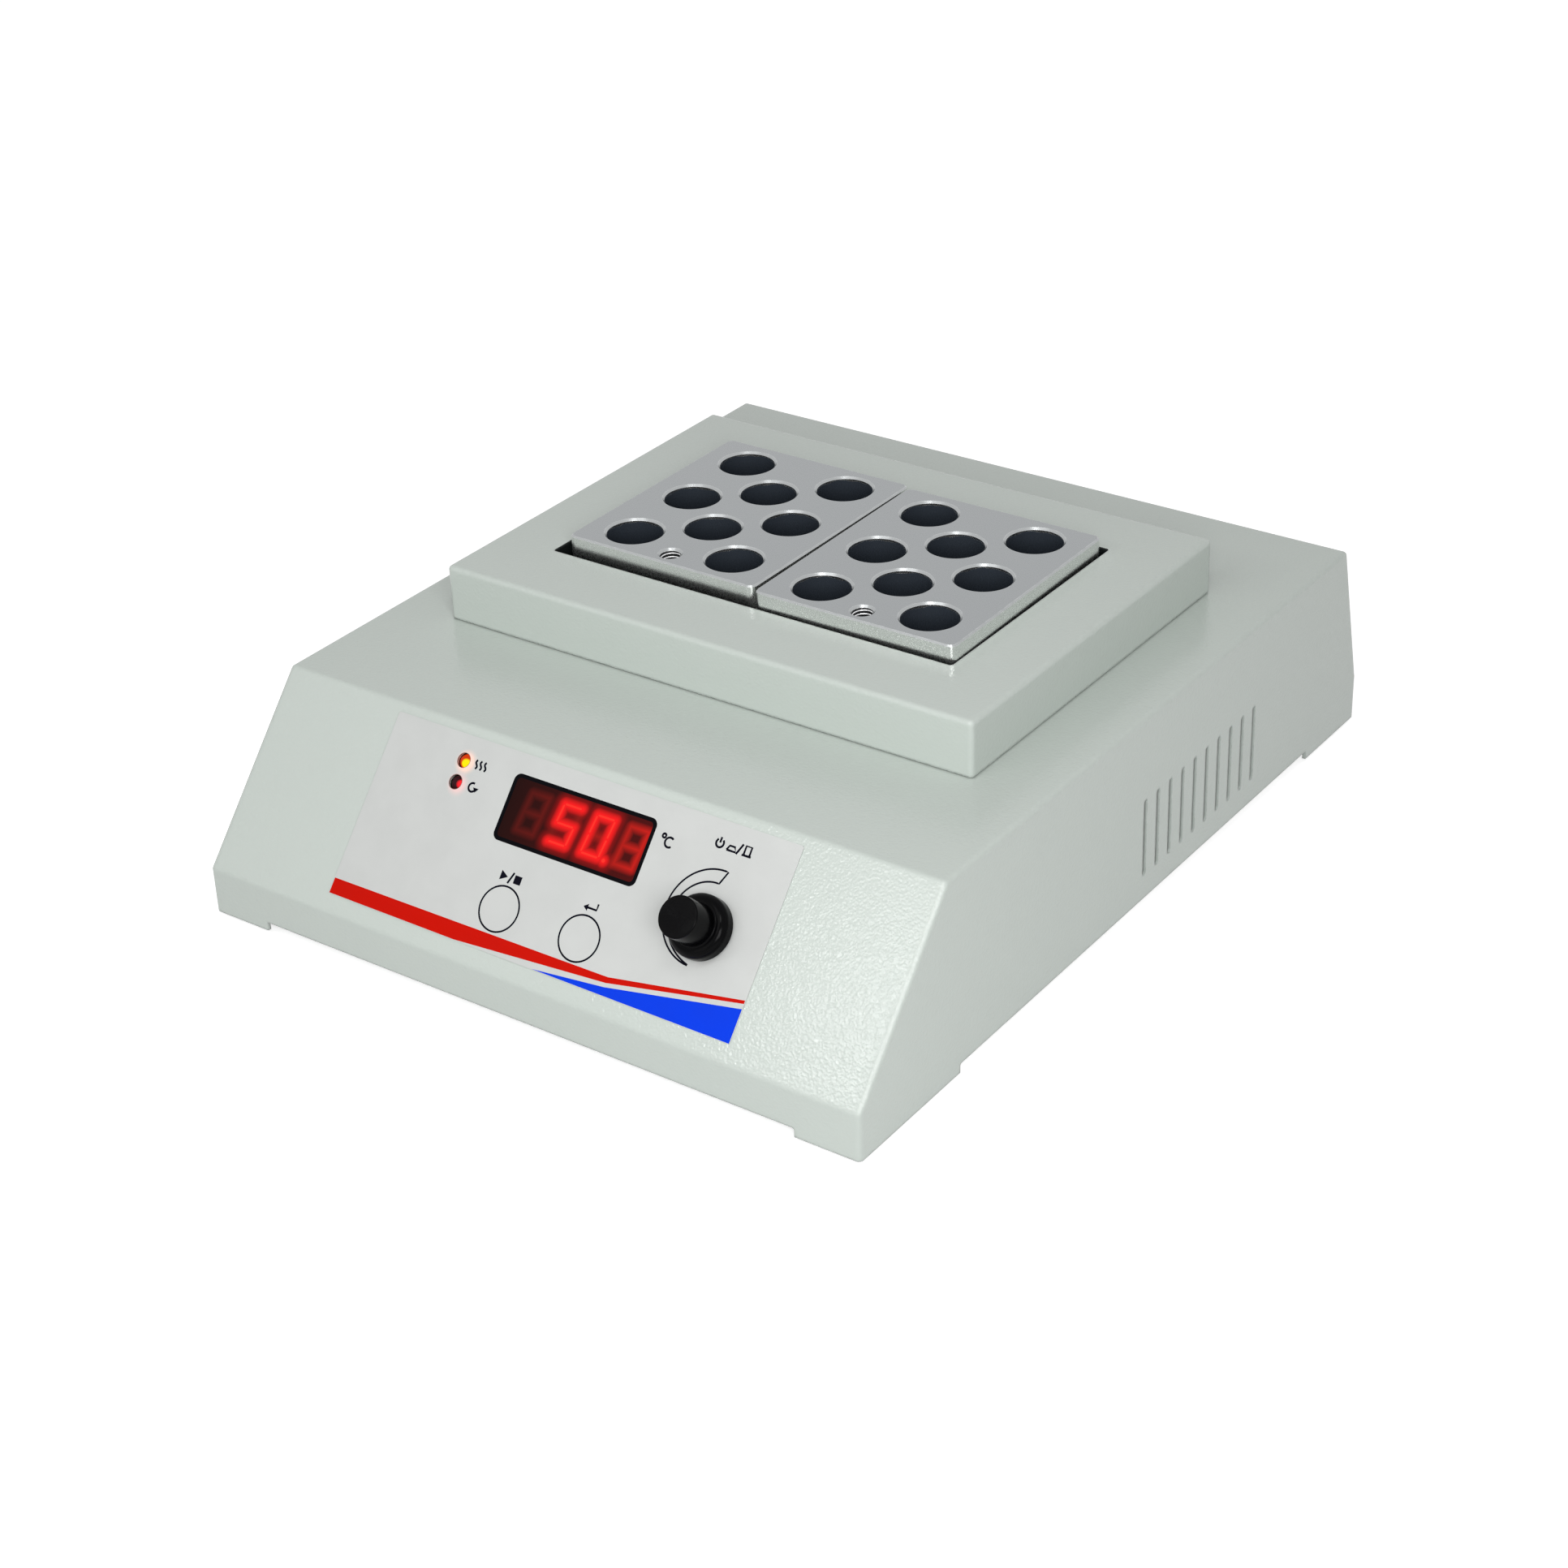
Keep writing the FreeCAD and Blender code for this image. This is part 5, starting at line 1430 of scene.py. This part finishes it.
THREAD = MilledAluminium("thread_bright", (236, 237, 238), 0.22, 1.0)
FINISHES: dict[str, Finish] = {
    "painted_case": PowderCoat("paint_case", (193, 201, 195), 0.17),
    "painted_base": PowderCoat("paint_base", (168, 173, 169), 0.4),
    "zinc_screws": MilledAluminium("zinc_plate", (196, 196, 190), 0.28, 1.0),
    "foot_rubber": Finish("rubber_black", (30, 30, 31), 0.75),
    "display_black": Finish("moulding_black", (24, 24, 26), 0.5),
    "board_green": Finish("board_resist", (22, 92, 52), 0.35),
    "key_film": PrintInk("film_key", (201, 203, 201), 0.42, specular=0.25),
    "plated_steel": MilledAluminium("nickel_steel", (188, 188, 184), 0.3, 1.0),
    "moulding_white": Finish("moulding_white", (222, 221, 214), 0.45),
    # The liner is coloured near black as painted shade in the gap round the blocks.
    "liner_steel": MilledAluminium("liner_shade", (30, 32, 33), 0.45, 0.3, specular=0.1),
    "heater_aluminium": MilledAluminium("plate_aluminium", (176, 178, 180), 0.4, 1.0),
    "heater_silicone": Finish("silicone_red", (168, 62, 40), 0.6),
    "insulation_white": Finish("fibre_board", (222, 218, 206), 0.9),
    # The blocks' upright faces carry a painted sheen.
    "block_aluminium": MilledAluminium("block_satin", (154, 157, 159), 0.28, 1.0, flank_sheen=(226, 228, 226)),
    "inlet_black": Finish("inlet_moulding", (26, 26, 28), 0.42),
    "nickel_pins": MilledAluminium("nickel_blade", (205, 203, 196), 0.25, 1.0),
    "fuse_glass": Finish("fuse_tube", (205, 214, 214), 0.15),
    "transformer_yellow": Finish("winding_tape", (196, 160, 72), 0.55),
    "terminal_green": Finish("terminal_green", (52, 126, 78), 0.45),
    "brass_stud": MilledAluminium("brass", (206, 172, 98), 0.3, 1.0),
    "lead_brown": Finish("lead_brown", (104, 66, 40), 0.5),
    "lead_green": Finish("lead_green", (120, 160, 50), 0.5),
    "lead_white": Finish("lead_white", (216, 214, 206), 0.5),
    "lead_grey": Finish("lead_grey", (132, 134, 138), 0.5),
}


def dress_nodes(frame: dict, extra: dict[str, Finish]) -> None:
    """Gives every CAD node the finish of its slot.

    Args:
        extra: finishes whose values depend on places in the frame, by slot.
    """
    slots = {part["node"]: part["material_slot"] for part in frame["record"]["subparts"]}
    finishes = {**FINISHES, **extra}
    for name, node in frame["nodes"].items():
        finish = finishes[slots[name]]
        for holder in node.material_slots:
            holder.material = finish.material()
        LOG.info("%s wears %s", name, finish.name)


def joint_place(frame: dict, name: str) -> tuple[Vector, Vector]:
    """A joint's place and axis by its name."""
    joint = next(j for j in frame["joints"] if j["name"] == name)
    return Vector(joint["pos_m"]), Vector(joint["axis"])


def well_centres(frame: dict, side: str) -> list[Vector]:
    """The middles of one block's wells, from the openings that the record states."""
    openings = frame["record"]["physics"]["openings"]
    boxes = [o["box_m"] for o in openings if o["name"].startswith(side + "_well")]
    return [(Vector(low) + Vector(high)) / 2 for low, high in boxes]


def opening_edges() -> tuple[float, float, float, float]:
    """The edges of the opening, which the well liner stands round.

    Returns:
        Its lowest x, highest x, lowest y and highest y in metres.
    """
    low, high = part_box("well_liner")
    inset = (LINER_WALL + LINER_FLANGE) * MM
    return low.x + inset, high.x - inset, low.y + inset, high.y - inset


def mount_place(frame: dict, name: str) -> Vector:
    """A mount's place by its name."""
    return Vector(next(m for m in frame["record"]["mounts"] if m["name"] == name)["pos_m"])


def surface(frame: dict, joint: str) -> tuple[Sheet, Callable[[Vector], Point]]:
    """The sheet of the front slope that a joint's axis stands out of, and a way back to its millimetres.

    Args:
        joint: a joint whose axis is the surface's outward direction.

    Returns:
        The sheet, with its origin at the middle of the part's width, and a function from a place to
        millimetres across and up it.
    """
    place, outward = joint_place(frame, joint)
    outward.normalize()
    across = Vector((1.0, 0.0, 0.0))
    up = outward.cross(across)
    foot = slope_foot(place, up)
    sheet = Sheet(foot, across, up, outward)

    def flat(point: Vector) -> Point:
        """Millimetres across and up the sheet."""
        away = point - foot
        return away.dot(across) / MM, away.dot(up) / MM
    return sheet, flat


def slope_foot(place: Vector, up: Vector) -> Vector:
    """The point where the front slope meets its strip's top line, in the middle of the part's width.

    Args:
        place: a point on the slope.
        up: the slope's upward direction.

    Returns:
        The point.
    """
    travel = (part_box("case_shell")[0].y - place.y) / up.y
    foot = place + up * travel
    return Vector((0.0, foot.y, foot.z))


@dataclass
class BlockDressing:
    """What shows inside one block's holes: the thread, a dark core of painted shade below it and the wells'
    walls in painted shade.
    """

    side: str
    thread_start: float = 1.2
    core_radius: float = 3.37
    core_mouth: float = 0.9
    core_depth: float = 13.9
    fade: float = 30.0
    # The lifting hole's core is coloured as painted shade.
    core: Finish = Finish("hole_shade", (22, 24, 26), 0.5)

    def build(self, frame: dict) -> None:
        """Builds the three pieces, which ride with the block.
        """
        block = self.side + "_block"
        place = mount_place(frame, self.side + "_lifting_hole")
        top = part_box(block)[1].z
        LiftThread(block, Vector((place.x, place.y, top - self.thread_start * MM))).build(THREAD)
        # Painted shade: a dark sleeve down the lifting hole.
        core = WellWalls(block, [place], top, self.core_radius, self.core_mouth, 0.0, self.core_depth,
                         piece="_lift_core_shade")
        core.build(self.core)
        # Painted shade: the wells' walls are dark sleeves, darker towards their floors.
        bore_shade_finish = ShadedBoreWall("bore_wall_shade", (52, 58, 66), 0.3, specular=0.2, mouth=top, depth=self.fade * MM)
        WellWalls(block, well_centres(frame, self.side), top).build(bore_shade_finish)


def main() -> None:
    """Builds the dressed incubator piece by piece."""
    logging.basicConfig(level=logging.INFO, format="%(message)s")
    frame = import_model()
    Studio().build()
    front, flat = surface(frame, "knob_turn")
    knob_place, knob_axis = joint_place(frame, "knob_turn")
    knob = flat(knob_place)
    keys = (flat(joint_place(frame, "start_key_press")[0]), flat(joint_place(frame, "set_key_press")[0]))
    panel = FrontPanel(front, knob, keys)
    tilt = math.atan2(-knob_axis.y, knob_axis.z)
    dress_nodes(frame, {
        "knob_black": TurnedGloss("knob_gloss", (4, 4, 5), 0.12, specular=0.05, centre=tuple(knob_place),
                                  tilt=tilt),
        # The surround's lips round the opening get painted shade.
        "painted_surround": PowderCoat("paint_surround", (194, 202, 196), 0.17, inside=opening_edges()),
        "red_filter": panel.window_finish(tilt),
        "panel_film": panel.film_finish(),
        "amber_lamp": panel.lamp_finish(0, "lamp_amber", (255, 240, 6), (206, 58, 14), (1.15, -1.0), 2.0),
        # The red lamp is unlit: its glow and bright patch are a painted highlight.
        "red_lamp": panel.lamp_finish(1, "lamp_red_highlight", (255, 34, 44), (48, 18, 22), (2.6, -0.3), 2.3),
    })
    panel.build()
    for side in ("left", "right"):
        BlockDressing(side).build(frame)


if __name__ == "__main__":
    main()
